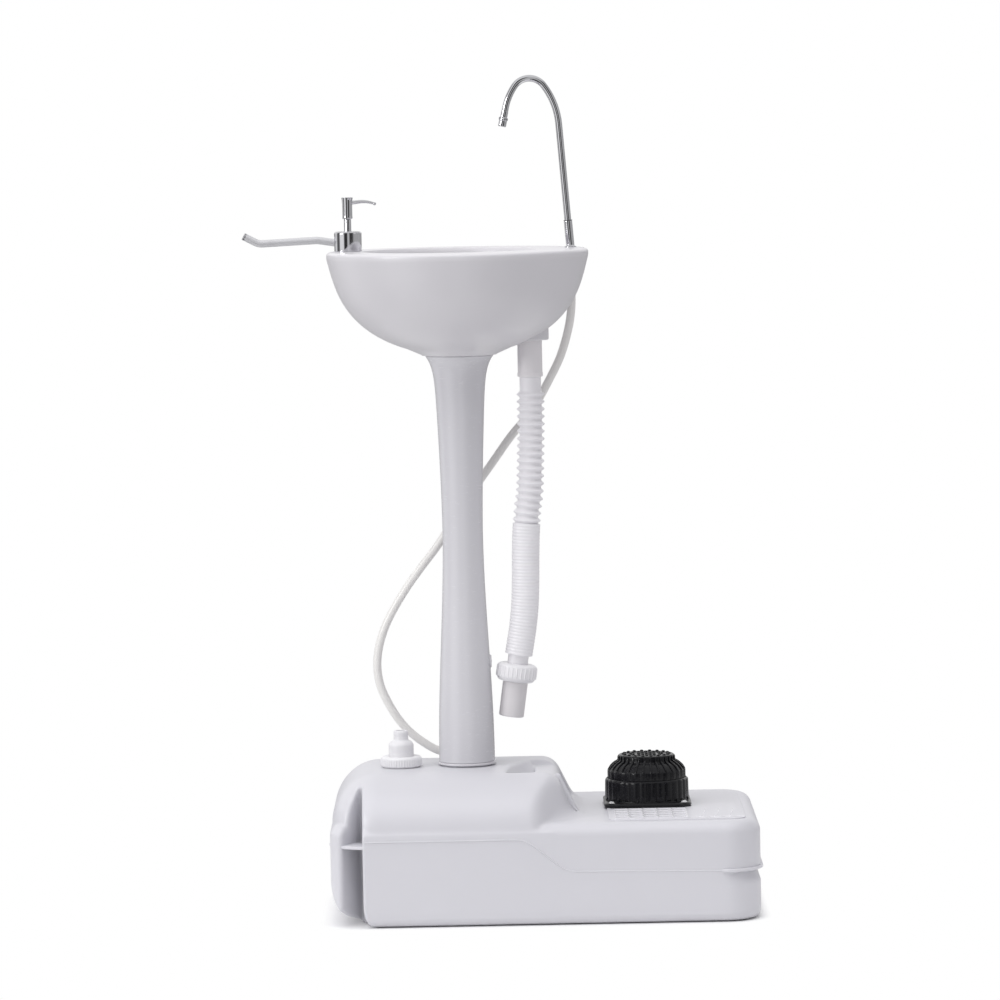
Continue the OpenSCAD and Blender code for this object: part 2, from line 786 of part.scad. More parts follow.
module drain_sump() {
    color(off_white) difference() {
        union() {
            translate([0, 0, sump_z]) linear_extrude(sump_h) sump_plan(sump_r);
            translate([col_x + drain_x, 0, tail_z + 10])
                cylinder(r = drain_spigot_r, h = sump_z - tail_z - 10 + over);
        }
        translate([0, 0, sump_z + sump_t]) linear_extrude(sump_h - 2 * sump_t) sump_plan(sump_r - sump_t);
        translate([col_x + strainer_x, 0, sump_z + sump_h - sump_t - over])
            cylinder(r = sump_r - sump_t - over, h = far);
        translate([col_x + drain_x, 0, tail_z]) cylinder(r = drain_spigot_r - 2, h = sump_z - tail_z + sump_t + over);
    }
}

module drain_collar() {
    color(white) difference() {
        translate([col_x + drain_x, 0, collar_z]) cylinder(r = collar_r, h = sump_z - collar_z + 6);
        translate([col_x + drain_x, 0, collar_z - over]) cylinder(r = drain_spigot_r + gap, h = far);
        basin_space();
    }
}

// the room that the basin takes up, with a clearance round it
module basin_space() {
    translate([col_x, 0, 0]) rotate_extrude()
        polygon(concat(basin_profile(-gap), [[0, deck_z], [0, col_top - gap]]));
}

module drain_tailpiece() {
    lip = 4;
    color(white) difference() {
        translate([col_x + drain_x, 0, tail_z]) cylinder(r = tail_r, h = tail_l);
        translate([col_x + drain_x, 0, tail_z + lip]) cylinder(r = drain_spigot_r + gap, h = far);
        translate([col_x + drain_x, 0, tail_z - over]) cylinder(r = hose_bore + gap, h = far);
        basin_space();
    }
}

// the ribbed hose: open ribs, then closed-up ribs, with a plain cuff at each end
module drain_hose() {
    sides = 8;
    cuff_r = 12.8;
    fine_root = rib_r - 0.9;
    last = len(drain_route) - 1;
    cuff_l = 12;
    cuff = [[tail_z, cuff_r], [tail_z - cuff_l, cuff_r]];
    cuff_rings = [for (c = cuff) loop_at([drain_route[0][0], 0, c[0]], [0, 0, -1], c[1], sides)];
    open_rings = flat_list([for (k = [0 : open_ribs - 1]) [for (h = [0, 1])
        let (s = open_end * (k + h * 0.5) / open_ribs)
        loop_at(smooth(drain_route, s), smooth_heading(drain_route, s), h == 0 ? root_r : rib_r, sides)]]);
    closed_rings = flat_list([for (k = [0 : closed_ribs - 1]) [for (h = [0, 1])
        let (s = open_end + (last - open_end) * (k + h * 0.5) / closed_ribs)
        loop_at(smooth(drain_route, s), smooth_heading(drain_route, s), h == 0 ? fine_root : rib_r, sides)]]);
    end_rings = [loop_at(drain_end, outlet_dir, fine_root, sides),
        loop_at(drain_end + outlet_dir, outlet_dir, neck_out, sides),
        loop_at(drain_end + neck_len * outlet_dir, outlet_dir, neck_out, sides)];
    bore_rings = concat(
        [loop_at(drain_end + neck_len * outlet_dir, outlet_dir, hose_bore, sides)],
        [for (i = [last : -0.5 : 0])
            loop_at(smooth(drain_route, i), smooth_heading(drain_route, i), hose_bore, sides)],
        [loop_at([drain_route[0][0], 0, tail_z], [0, 0, -1], hose_bore, sides)]);
    rings = concat(cuff_rings, open_rings, closed_rings, end_rings, bore_rings);
    color(off_white) polyhedron(points = flat_list(rings),
        faces = [for (f = wall_faces(len(rings), sides, true)) [f[2], f[1], f[0]]]);
}

// places its children at the lower end of the hose, with +Z running down the outlet
module at_hose_end(along) {
    translate(drain_end + (neck_len + along) * outlet_dir)
        rotate([0, 180 + outlet_tilt, 0]) children();
}

module drain_union_nut() {
    grip_n = 12;
    lip = 4;
    color(off_white) at_hose_end(-lip) difference() {
        union() {
            cylinder(r = nut_r, h = nut_h);
            for (i = [0 : grip_n - 1]) rotate(i * 360 / grip_n)
                translate([nut_r, 0, 3]) cylinder(r = 1.6, h = nut_h - 6);
        }
        translate([0, 0, -over]) cylinder(r = neck_out + gap, h = lip + 2 * over);
        translate([0, 0, lip]) cylinder(r = outlet_r + 3 + gap, h = far);
    }
}

module drain_outlet() {
    flange_t = 6;
    color(off_white) at_hose_end(0) difference() {
        union() {
            cylinder(r = outlet_r + 3, h = flange_t);
            cylinder(r = outlet_r, h = nut_h + outlet_l - 4);
        }
        translate([0, 0, -over]) cylinder(r = hose_bore, h = far);
    }
}

// ---- supply line ---------------------------------------------------------------

module supply_hose() {
    color(off_white) swept(supply_route, supply_r, 12);
}

hose_end = supply_route[len(supply_route) - 1];
barb_x = col_x + 12;
barb_y = hose_end[1];
barb_r = 6;
barb_nut_r = 11;
barb_nut_h = 2.6;
washer_t = 1;

barb_drop = 14;

module tank_barb() {
    pipe_r = 3;
    drop = barb_drop;
    elbow = hose_end[2];
    color(off_white) difference() {
        union() {
            translate([barb_x, barb_y, tall_h - drop])
                cylinder(r = barb_r, h = drop + elbow - tall_h + supply_r + over);
            translate([barb_x, barb_y, tall_h + washer_t]) cylinder(r = barb_nut_r, h = barb_nut_h - washer_t);
            translate([hose_end[0], barb_y, elbow]) rotate([0, 90, 0])
                cylinder(r = supply_r, h = barb_x - hose_end[0]);
        }
        translate([barb_x, barb_y, tall_h - drop - over]) cylinder(r = pipe_r, h = drop + elbow - tall_h + over);
        translate([hose_end[0] - over, barb_y, elbow]) rotate([0, 90, 0])
            cylinder(r = pipe_r, h = barb_x - hose_end[0] + over);
    }
}

module tank_barb_washer() {
    color(seal_grey) translate([barb_x, barb_y, tall_h]) ring(barb_nut_r - 1, barb_r + gap, washer_t);
}

// the pipe inside the tank, from under the pump to the hose barb
module outlet_pipe() {
    r = 5;
    t = 1.5;
    turn_r = 12;
    drop = 24;
    from = [pump_x - under_r / 2, pump_y, low_h - pump_under];
    to = [barb_x, barb_y, tall_h - barb_drop];
    run = norm([to[0] - from[0], to[1] - from[1]]) - 2 * turn_r;
    rise = to[2] - from[2] + drop;
    aim = atan2(to[1] - from[1], to[0] - from[0]);
    color(off_white) translate(from) rotate([0, 0, aim]) rotate([0, 180, 0])
        straight(drop - turn_r, r, t) bend(turn_r, 90, r, t) straight(run, r, t)
            bend(turn_r, 90, r, t) straight(rise - turn_r, r, t);
}

// ---- spout --------------------------------------------------------------------

module at_spout() {
    translate([col_x + spout_x, spout_y, deck_z]) children();
}

// the gooseneck above the straight leg, in the leg's own frame
neck_moves = [[bend_a, bend_a_turn], [bend_b, bend_b_turn], [bend_c, bend_c_turn], [tip_run]];
neck_route = concat([[0, 0, leg_l - 3 * over], [0, 0, leg_l]], trace(neck_moves, [0, 0, leg_l], 0));

module spout() {
    color(chrome) at_spout() rotate([0, -lean, 0]) {
        translate([0, 0, spout_seat]) ring(spout_r, spout_r - spout_t, leg_l - spout_seat - over);
        swept_tube(neck_route, spout_r - eps, spout_r - spout_t + 0.1, rod_fn);
    }
}

// carries its children at the spout's tip, with +Z running out of it
module at_tip() {
    at_spout() rotate([0, -lean, 0]) translate(neck_route[len(neck_route) - 1])
        rotate([0, -turned_by(neck_moves), 0]) children();
}

module aerator() {
    color(chrome) at_tip() difference() {
        union() {
            cylinder(r1 = spout_r, r2 = aerator_r, h = 3);
            translate([0, 0, 3]) cylinder(r = aerator_r, h = aerator_l - 5);
            translate([0, 0, aerator_l - 2]) cylinder(r = aerator_r - 0.8, h = 2);
        }
        translate([0, 0, 2]) cylinder(r = spout_r - spout_t, h = aerator_l - 6);
        for (a = [0 : 60 : 300]) rotate(a) translate([2, 0, aerator_l / 2]) cylinder(r = 0.7, h = aerator_l);
    }
}

module spout_sleeve() {
    flange_r = 8.4;
    color(chrome) at_spout() difference() {
        union() {
            rotate([0, -lean, 0]) cylinder(r = sleeve_r, h = sleeve_h);
            cylinder(r = flange_r, h = 2);
            translate([0, 0, -spout_tail]) cylinder(r = supply_r, h = spout_tail + over);
        }
        rotate([0, -lean, 0]) translate([0, 0, spout_seat]) cylinder(r = spout_r + fit, h = far);
        translate([0, 0, -spout_tail - over]) cylinder(r = 2.4, h = spout_tail + 7);
    }
}
spout_tail = deck_z - supply_route[0][2];

module spout_nut() {
    color(silver) at_spout() translate([0, 0, -bowl_t - 6]) ring(8, supply_r + fit, 6);
}

// the ring that seals the spout in its sleeve
module spout_seal() {
    color(seal_grey) at_spout() rotate([0, -lean, 0]) translate([0, 0, sleeve_h])
        ring(sleeve_r - 0.2, spout_r + fit, 0.8);
}

// ---- soap pump -----------------------------------------------------------------

soap_neck_r = 9.3;
soap_neck_h = 4;
bottle_r = 11;
bottle_h = 34;
chamber_r = 6.4;
chamber_bore = 5;
chamber_l = 29;
piston_z = -8;
stem_spigot = 8;
stem_top = soap_h + stem_show;

module at_soap() {
    translate([col_x - soap_x, soap_y, deck_z]) children();
}

module soap_collar() {
    color(chrome) at_soap() difference() {
        rotate_extrude() polygon([[0, 0], [soap_r, 0], [soap_r, soap_h - 2],
            [soap_r - 2, soap_h], [0, soap_h]]);
        translate([0, 0, -over]) cylinder(r = soap_neck_r + gap, h = soap_neck_h + 3);
        translate([0, 0, 0]) cylinder(r = stem_r + fit, h = far);
    }
}

module soap_bottle() {
    t = 1.5;
    color(off_white) at_soap() difference() {
        union() {
            translate([0, 0, -bottle_h]) cylinder(r = bottle_r, h = bottle_h - bowl_t);
            translate([0, 0, -bowl_t - over]) cylinder(r = soap_neck_r, h = bowl_t + soap_neck_h + over);
        }
        translate([0, 0, -bottle_h + t]) cylinder(r = bottle_r - t, h = bottle_h - bowl_t - 2 * t);
        cylinder(r = chamber_r + gap, h = far);
        translate([0, 0, -bowl_t - 2 * t]) cylinder(r = chamber_r + gap, h = far);
    }
}

module soap_chamber() {
    color(off_white) at_soap() difference() {
        union() {
            translate([0, 0, -chamber_l]) cylinder(r = chamber_r, h = chamber_l + soap_neck_h);
            translate([0, 0, soap_neck_h]) cylinder(r = soap_neck_r, h = 1.5);
        }
        translate([0, 0, -chamber_l + 1.5]) cylinder(r = chamber_bore, h = far);
        translate([0, 0, -chamber_l - over]) cylinder(r = 1.2, h = 3);
    }
}

module soap_dip_tube() {
    color(off_white) at_soap() translate([0, 0, -bottle_h + 1.8])
        ring(2, 1.2, bottle_h - chamber_l - 1.8);
}

module soap_stem() {
    color(chrome) at_soap() {
        translate([0, 0, piston_z]) cylinder(r = chamber_bore - fit, h = 5);
        translate([0, 0, piston_z]) cylinder(r = stem_r, h = stem_top - piston_z);
        translate([0, 0, stem_top]) cylinder(r = 2.5, h = stem_spigot);
    }
}

module soap_spring() {
    wire = 0.5;
    color(silver) at_soap() spring(chamber_bore - wire - 0.4, wire,
        -chamber_l + 1.5 + wire + 0.1, piston_z - wire - 0.1, 8);
}

// a round-wire helix from height a to height b
module spring(r, wire, a, b, turns) {
    steps = turns * 12;
    swept([for (i = [0 : steps]) [r * cos(i * 30), r * sin(i * 30), a + (b - a) * i / steps]], wire, 6);
}

nozzle_out = 2.2;
nozzle_start = [0, 0, head_h - 7];
nozzle_pitch = 84;
nozzle_turn = 28;
nozzle_bend = nozzle_l * 1.2;
nozzle_arc = nozzle_bend * (cos(nozzle_pitch) - cos(nozzle_pitch + nozzle_turn));
nozzle_moves = [[nozzle_l - nozzle_arc], [nozzle_bend, -nozzle_turn]];
nozzle_route = concat([nozzle_start],
    trace(nozzle_moves, nozzle_start, -nozzle_pitch));

module soap_head() {
    color(chrome) at_soap() translate([0, 0, stem_top]) difference() {
        union() {
            rotate_extrude() polygon([[0, 0], [head_r - 1.2, 0], [head_r - 0.6, 2],
                [head_r - 1.6, head_h * 0.55], [head_r, head_h - 3], [head_r + 0.6, head_h],
                [head_r - 0.8, head_h], [0, head_h - 3]]);
            swept(nozzle_route, nozzle_out, rod_fn);
            translate(nozzle_route[len(nozzle_route) - 1]) sphere(r = nozzle_out + 0.5);
        }
        translate([0, 0, -over]) cylinder(r = 2.5 + fit, h = stem_spigot + over + fit);
    }
}

// ---- towel arm -----------------------------------------------------------------

bush_r = 6.6;
towel_drop = 24;
towel_nut_h = 5;
towel_nut_r = 6.4;

module at_towel() {
    translate([col_x - towel_x, towel_y, deck_z]) children();
}

towel_bend = towel_r + 1.5;
towel_lift = 1.2;
first_turn = 81;
second_turn = 11.5;
last_turn = 30;
towel_moves = [[towel_bend, first_turn], [towel_a], [towel_r * 5, second_turn], [towel_b],
    [towel_r * 4, -last_turn], [towel_c]];

module towel_arm() {
    color(silver) at_towel() {
        translate([0, 0, -towel_drop]) cylinder(r = towel_r, h = towel_drop + towel_lift - over / 2);
        swept(concat([[0, 0, -over], [0, 0, towel_lift]], trace(towel_moves, [0, 0, towel_lift], 0)),
            towel_r - eps, rod_fn);
    }
}

module towel_bush() {
    color(off_white) at_towel() translate([0, 0, -bowl_t]) {
        ring(bush_r, towel_r + fit, bowl_t + eps);
        translate([0, 0, bowl_t]) ring(bush_r + 1.5, towel_r + fit, 0.8);
    }
}

module towel_nut() {
    color(silver) at_towel() translate([0, 0, -bowl_t - towel_nut_h - 0.2])
        ring(towel_nut_r, towel_r, towel_nut_h);
}

// ---- fill cap -------------------------------------------------------------------

gasket_t = 1.2;
flange_t = 1.6;

module at_cap() {
    translate([cap_x, cap_y, tall_h]) children();
}

module cap_ring() {
    lift = 0.3;
    grips = 40;
    lid_z = fill_h + gasket_t + flange_t;
    color(off_white) at_cap() difference() {
        union() {
            translate([0, 0, lift]) rotate_extrude()
                polygon([[0, 0], [cap_r - 0.8, 0], [cap_r - 0.8, cap_h - 2], [cap_r - 2.8, cap_h], [0, cap_h]]);
            for (i = [0 : grips - 1]) rotate(i * 360 / grips)
                translate([cap_r - 0.8, 0, lift + 1]) cylinder(r = 0.8, h = cap_h - 4);
        }
        translate([0, 0, -over]) cylinder(r = fill_r + gap, h = lid_z + over);
        cylinder(r = boss_r + gap, h = far);
    }
}

module cap_adaptor() {
    base = fill_h + gasket_t;
    top = cap_h + boss_h;
    color(off_white) at_cap() difference() {
        rotate_extrude() polygon([[0, base], [fill_r, base], [fill_r, base + flange_t],
            [boss_r, base + flange_t], [boss_r, top - 4], [boss_r - 1.2, top - 1.4],
            [boss_r - 4, top], [nipple_r, top], [nipple_r, top + nipple_h - 1],
            [nipple_r - 1, top + nipple_h], [0, top + nipple_h]]);
        cylinder(r = nipple_r - 3, h = far);
        cylinder(r = boss_r - 3, h = top - 3);
    }
}

module cap_gasket() {
    color(seal_grey) at_cap() translate([0, 0, fill_h]) ring(fill_r - 0.2, fill_r - 3.5, gasket_t);
}

// ---- foot pump --------------------------------------------------------------------

pump_under = 12;
intake_spigot = 8;
pump_gasket_t = 1;
base_z = tread_z + pump_gasket_t;
cyl_z = base_z + plate_t;
cyl_top = cyl_z + pump_h;
lip_t = 2.5;
flange_r = plunger_r + flute_d + 0.6;
bore_r = flange_r + gap;
plunger_flange_t = 2.6;
seal_t = 3;
spring_r = 18;
spring_wire = 1.4;

module at_pump(z) {
    translate([pump_x, pump_y, z]) children();
}

module pump_body() {
    color(black) difference() {
        union() {
            at_pump(base_z) linear_extrude(plate_t) cut_square(plate_w, plate_cut);
            at_pump(cyl_z - over) linear_extrude(pump_h + over) fluted(pump_r);
            at_pump(low_h - pump_under) cylinder(r = under_r, h = base_z - low_h + pump_under + over);
            at_pump(low_h - pump_under - intake_spigot) cylinder(r = 5, h = intake_spigot + over);
        }
        at_pump(cyl_z - 2) cylinder(r = bore_r, h = pump_h + 2 - lip_t);
        at_pump(cyl_z) cylinder(r = plunger_r + flute_d + gap, h = far);
        at_pump(low_h - pump_under - intake_spigot - over) cylinder(r = 3, h = far);
        translate([pump_x - under_r / 2, pump_y, low_h - pump_under - over]) cylinder(r = 3, h = far);
        for (p = screw_spots()) translate([p[0], p[1], base_z - over]) {
            cylinder(r = screw_r + fit, h = plate_t + 2 * over);
            translate([0, 0, plate_t + over]) cylinder(r = screw_head_r + gap, h = far);
        }
    }
}

module pump_plunger() {
    skirt_z = cyl_top - lip_t - 0.3 - plunger_flange_t;
    side_top = cyl_top + plunger_side;
    neck_z = side_top + plunger_rise * 0.62;
    top_z = side_top + plunger_rise;
    t = 2.6;
    rib_w = 2.4;
    neck = top_r + 5.5;
    color(black) at_pump(0) difference() {
        union() {
            translate([0, 0, skirt_z]) linear_extrude(side_top - skirt_z) fluted(plunger_r);
            translate([0, 0, skirt_z]) cylinder(r = flange_r, h = plunger_flange_t);
            rotate_extrude() polygon([[0, side_top - over], [plunger_r, side_top - over],
                [plunger_r, side_top], [neck, neck_z], [top_r, neck_z + 1.4], [top_r, top_z - 1],
                [top_r - 1, top_z], [0, top_z]]);
            for (i = [0 : flutes - 1]) rotate(i * 360 / flutes)
                translate([0, rib_w / 2, 0]) rotate([90, 0, 0]) linear_extrude(rib_w)
                    polygon([[top_r - 2, side_top], [plunger_r + 0.5, side_top],
                        [neck + 0.6, neck_z + 1], [top_r + 1, top_z - 2], [top_r - 2, top_z - 2]]);
            nubs(top_z);
        }
        translate([0, 0, skirt_z - over]) cylinder(r = plunger_r - t, h = side_top - skirt_z - t / 2 + over);
        translate([0, 0, side_top - t]) cylinder(r = top_r - t, h = plunger_rise - t);
    }
}

// rings of low studs that keep a foot from slipping
module nubs(z) {
    nub_r = 2.2;
    nub_h = 1.8;
    for (k = [0 : 3])
        for (i = [0 : max(0, 6 * k - 1)])
            rotate(i * 60 / max(1, k)) translate([k * 8.4, 0, z - over])
                cylinder(r = nub_r, h = nub_h + over);
}

module pump_seal() {
    z = cyl_top - lip_t - 0.3 - plunger_flange_t - seal_t;
    color(seal_grey) at_pump(z) ring(flange_r + 0.1, plunger_r - 6, seal_t);
}

module pump_spring() {
    low = cyl_z - 2 + spring_wire + 0.1;
    high = cyl_top + plunger_side + plunger_rise - 5.2 - spring_wire - 0.1;
    color(silver) at_pump(0) spring(spring_r, spring_wire, low, high, 7);
}

module pump_inlet_valve() {
    color(seal_grey) at_pump(cyl_z - 2) cylinder(r = 9, h = 1.2);
}

module pump_gasket() {
    color(seal_grey) difference() {
        at_pump(tread_z) linear_extrude(pump_gasket_t) cut_square(plate_w - 2, plate_cut);
        at_pump(0) cylinder(r = under_r + gap, h = far);
        for (p = screw_spots()) translate([p[0], p[1], 0]) cylinder(r = screw_r + fit, h = far);
    }
}

module pump_screws() {
    color(silver) for (p = screw_spots()) translate([p[0], p[1], base_z + plate_t]) {
        difference() {
            rotate_extrude() polygon([[0, 0], [screw_head_r, 0], [screw_head_r - 0.6, 1.4],
                [screw_head_r - 2, 2.4], [0, 2.6]]);
            for (a = [0, 90]) rotate(a) translate([-2.4, -0.5, 1.6]) cube([4.8, 1, 2]);
        }
        translate([0, 0, -screw_l]) cylinder(r = screw_r, h = screw_l + eps);
    }
}

module intake_tube() {
    top = low_h - pump_under - intake_spigot;
    color(off_white) at_pump(intake_low) ring(4, 2.5, top - intake_low);
}
intake_low = 12;

module intake_strainer() {
    color(silver) at_pump(wall + gap) difference() {
        cylinder(r = 9, h = intake_low - wall - gap + 4);
        translate([0, 0, intake_low - wall - gap]) cylinder(r = 4 + fit, h = far);
        translate([0, 0, 2]) cylinder(r = 3.2, h = far);
        for (a = [0 : 45 : 315]) rotate(a) translate([4, -0.8, 2])
            cube([6, 1.6, intake_low - wall - gap - 4]);
    }
}

tank();
column_ring();
column();
column_button();
basin_shell();
basin_bowl();
drain_strainer();
drain_sump();
drain_collar();
drain_tailpiece();
drain_hose();
drain_union_nut();
drain_outlet();
supply_hose();
tank_barb();
tank_barb_washer();
outlet_pipe();
spout();
aerator();
spout_sleeve();
spout_nut();
spout_seal();
soap_collar();
soap_bottle();
soap_chamber();
soap_dip_tube();
soap_stem();
soap_spring();
soap_head();
towel_arm();
towel_bush();
towel_nut();
cap_ring();
cap_adaptor();
cap_gasket();
pump_body();
pump_plunger();
pump_seal();
pump_spring();
pump_inlet_valve();
pump_gasket();
pump_screws();
intake_tube();
intake_strainer();
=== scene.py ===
import math

import bmesh
import bpy
import numpy as np
from mathutils import Matrix, Quaternion, Vector


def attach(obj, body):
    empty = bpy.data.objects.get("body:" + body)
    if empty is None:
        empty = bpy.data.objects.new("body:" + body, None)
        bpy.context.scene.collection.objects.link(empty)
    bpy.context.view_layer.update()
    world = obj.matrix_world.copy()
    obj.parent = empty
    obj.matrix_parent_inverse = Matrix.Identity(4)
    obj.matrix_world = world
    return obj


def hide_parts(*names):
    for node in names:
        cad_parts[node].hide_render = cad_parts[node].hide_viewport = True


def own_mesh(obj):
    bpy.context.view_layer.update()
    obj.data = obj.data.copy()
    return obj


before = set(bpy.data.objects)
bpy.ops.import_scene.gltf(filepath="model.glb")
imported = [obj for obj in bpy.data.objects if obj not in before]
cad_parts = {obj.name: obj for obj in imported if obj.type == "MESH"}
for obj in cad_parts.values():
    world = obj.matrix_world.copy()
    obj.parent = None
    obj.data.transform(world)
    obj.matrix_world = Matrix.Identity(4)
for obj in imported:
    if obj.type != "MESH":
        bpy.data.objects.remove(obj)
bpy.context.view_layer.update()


# ---- View, floor and light ----------------------------------------------------
# The stand is seen from the front, with the eye just above the basin's rim.
# It stands on a plain white floor in soft studio light from above.

MM = 0.001
scene = bpy.context.scene
scene.view_settings.view_transform = "Standard"


def placed(name, data):
    """a new object in the scene for a mesh, a curve, a lamp or a camera"""
    thing = bpy.data.objects.new(name, data)
    scene.collection.objects.link(thing)
    return thing


def aimed(thing, place, target):
    """stands a camera or a lamp in its place and turns it to its target"""
    thing.location = place
    thing.rotation_mode = "QUATERNION"
    thing.rotation_quaternion = (Vector(target) - Vector(place)).to_track_quat("-Z", "Y")


eye, aim = (-0.047, -6.5, 0.985), (-0.0455, 0, 0.4925)
middle_of_stand = (0, 0, 0.5)
camera_data = bpy.data.cameras.new("view")
camera_data.sensor_width = 36
camera_data.lens = 195.6
camera_data.clip_end = 100
camera = placed("view", camera_data)
aimed(camera, eye, aim)
lean_of_view = Quaternion((0, 0, 1), math.radians(-1.1))
camera.rotation_quaternion = camera.rotation_quaternion @ lean_of_view
scene.camera = camera


def soft_lamp(name, place, size, watts, in_gloss=True):
    """a round area lamp that points at the middle of the stand"""
    data = bpy.data.lights.new(name, "AREA")
    data.shape = "DISK"
    data.size = size
    data.energy = watts
    lamp = placed(name, data)
    lamp.visible_glossy = in_gloss
    aimed(lamp, place, middle_of_stand)


soft_lamp("overhead_lamp", (-0.5, -0.9, 4.2), 5.0, 120, in_gloss=False)
soft_lamp("right_lamp", (2.5, -1.4, 1.6), 1.2, 1.0)
soft_lamp("left_lamp", (-2.9, -1.7, 1.5), 1.2, 33)


def add(tree, kind, **values):
    """a node with its settings and inputs given by name, or by number as _0; a socket is linked"""
    node = tree.nodes.new(kind)
    for key, value in values.items():
        if hasattr(node, key):
            setattr(node, key, value)
            continue
        socket = node.inputs[int(key[1:]) if key[0] == "_" else key.replace("_", " ")]
        if isinstance(value, bpy.types.NodeSocket):
            tree.links.new(value, socket)
        else:
            socket.default_value = value
    return node


def maths(tree, operation, *terms, kind="ShaderNodeMath", **settings):
    """what a Math node makes of sockets and numbers"""
    terms = {"_%d" % i: term for i, term in enumerate(terms)}
    return add(tree, kind, operation=operation, **settings, **terms).outputs


def number(tree, operation, *terms, **settings):
    return maths(tree, operation, *terms, **settings)[0]


def vector(tree, operation, *terms):
    """what a Vector Math node makes: its outputs, a vector or a value"""
    return maths(tree, operation, *terms, kind="ShaderNodeVectorMath")


def ramp(tree, value, low, high, top=1.0):
    """0 up to low and top from high on, with a smooth rise between them"""
    return add(tree, "ShaderNodeMapRange", interpolation_type="SMOOTHSTEP", Value=value,
               From_Min=low, From_Max=high, To_Max=top).outputs[0]


def white_to_the_eye(tree):
    """1 for rays that come from the camera, a reflection or glass"""
    path = add(tree, "ShaderNodeLightPath").outputs
    seen = number(tree, "MAXIMUM", path["Is Camera Ray"], path["Is Glossy Ray"])
    return number(tree, "MAXIMUM", seen, path["Is Transmission Ray"])


# Gloss sees white paper behind and above, and in front the dark studio with its tall soft boxes.
world = bpy.data.worlds.new("studio")
scene.world = world
world.use_nodes = True
tree = world.node_tree
tree.nodes.clear()
heading = add(tree, "ShaderNodeTexCoord").outputs["Generated"]
part = add(tree, "ShaderNodeSeparateXYZ", _0=heading).outputs
bearing = number(tree, "ARCTAN2", part["X"], number(tree, "MULTIPLY", part["Y"], -1.0))
turn = number(tree, "MULTIPLY_ADD", bearing, 0.5 / math.pi, 0.5)
bands = add(tree, "ShaderNodeValToRGB", _0=turn)
soft_boxes = [
    (0.0, 0.35), (0.13, 0.4), (0.15, 0.8), (0.205, 0.9), (0.23, 0.15), (0.29, 0.12),
    (0.315, 0.95), (0.40, 0.95), (0.425, 0.04), (0.485, 0.04), (0.50, 0.6), (0.53, 0.6),
    (0.55, 0.05), (0.61, 0.06), (0.65, 0.45), (0.78, 0.5), (0.86, 0.45), (1.0, 0.35)]
for i, (place, level) in enumerate(soft_boxes):
    elements = bands.color_ramp.elements
    stop = elements[i] if i < 2 else elements.new(place)
    stop.position = place
    stop.color = (level, level, level, 1)
above = ramp(tree, part["Z"], 0.4, 0.8, top=0.8)
behind = ramp(tree, part["Y"], 0.3, 0.8)
backdrop = number(tree, "MULTIPLY", behind, ramp(tree, part["Z"], 0.0, 0.12))
sky = number(tree, "MAXIMUM", number(tree, "MAXIMUM", bands.outputs[0], above), backdrop)
straight = add(tree, "ShaderNodeLightPath").outputs["Is Camera Ray"]
room = add(tree, "ShaderNodeBackground", Color=(0.97, 0.96, 1.0, 1), Strength=0.58).outputs[0]
paper = add(tree, "ShaderNodeBackground", Color=number(tree, "MAXIMUM", sky, straight),
            Strength=1.0).outputs[0]
mix = add(tree, "ShaderNodeMixShader", _0=white_to_the_eye(tree), _1=room, _2=paper)
add(tree, "ShaderNodeOutputWorld", Surface=mix.outputs[0])

# The floor's paper is in shade only under the tank: it is white again a little past its outline.
floor_reach = 0.9
shaded_half = (0.205, 0.105, 0)
shade_ends, white_starts = 0.044, 0.064
ground = bmesh.new()
bmesh.ops.create_circle(ground, cap_ends=True, segments=96, radius=floor_reach)
floor_mesh = bpy.data.meshes.new("floor")
ground.to_mesh(floor_mesh)
ground.free()
floor = placed("floor", floor_mesh)
floor_paint = bpy.data.materials.new("floor_paper")
floor_paint.use_nodes = True
tree = floor_paint.node_tree
tree.nodes.clear()
fold = vector(tree, "ABSOLUTE", add(tree, "ShaderNodeTexCoord").outputs["Object"])
beyond = vector(tree, "MAXIMUM", vector(tree, "SUBTRACT", fold[0], shaded_half)[0])
reach = vector(tree, "LENGTH", beyond[0])["Value"]
white = ramp(tree, reach, shade_ends, white_starts)
share = number(tree, "MULTIPLY", white, white_to_the_eye(tree))
flat = add(tree, "ShaderNodeBsdfDiffuse", Color=(0.9, 0.9, 0.9, 1)).outputs[0]
glow = add(tree, "ShaderNodeEmission", Color=(1, 1, 1, 1), Strength=1.0).outputs[0]
mix = add(tree, "ShaderNodeMixShader", _0=share, _1=flat, _2=glow)
add(tree, "ShaderNodeOutputMaterial", Surface=mix.outputs[0])
floor_mesh.materials.append(floor_paint)


# ---- Supply hose ----------------------------------------------------------------
# A 10 mm milky PVC hose from the spout's tail under the deck, behind the drain
# hose and the column, to the elbow on the tank's top. It is pushed on at both ends.

def new_tree(name, kind, inputs, outputs):
    """an empty node tree with named sockets (name, kind, start value), and what it is given"""
    tree = bpy.data.node_groups.new(name, kind)
    for side, sockets in (("INPUT", inputs), ("OUTPUT", outputs)):
        for label, socket_kind, *start in sockets:
            socket = tree.interface.new_socket(
                label, in_out=side, socket_type="NodeSocket" + socket_kind)
            if start:
                socket.default_value = start[0]
    return tree, tree.nodes.new("NodeGroupInput").outputs


def noise(tree, where, scale, detail, rough=0.5):
    return add(tree, "ShaderNodeTexNoise", Vector=where, Scale=scale, Detail=detail,
               Roughness=rough).outputs["Fac"]


surface_sockets = [("Colour", "Color"), ("Roughness", "Float"), ("Normal", "Vector")]


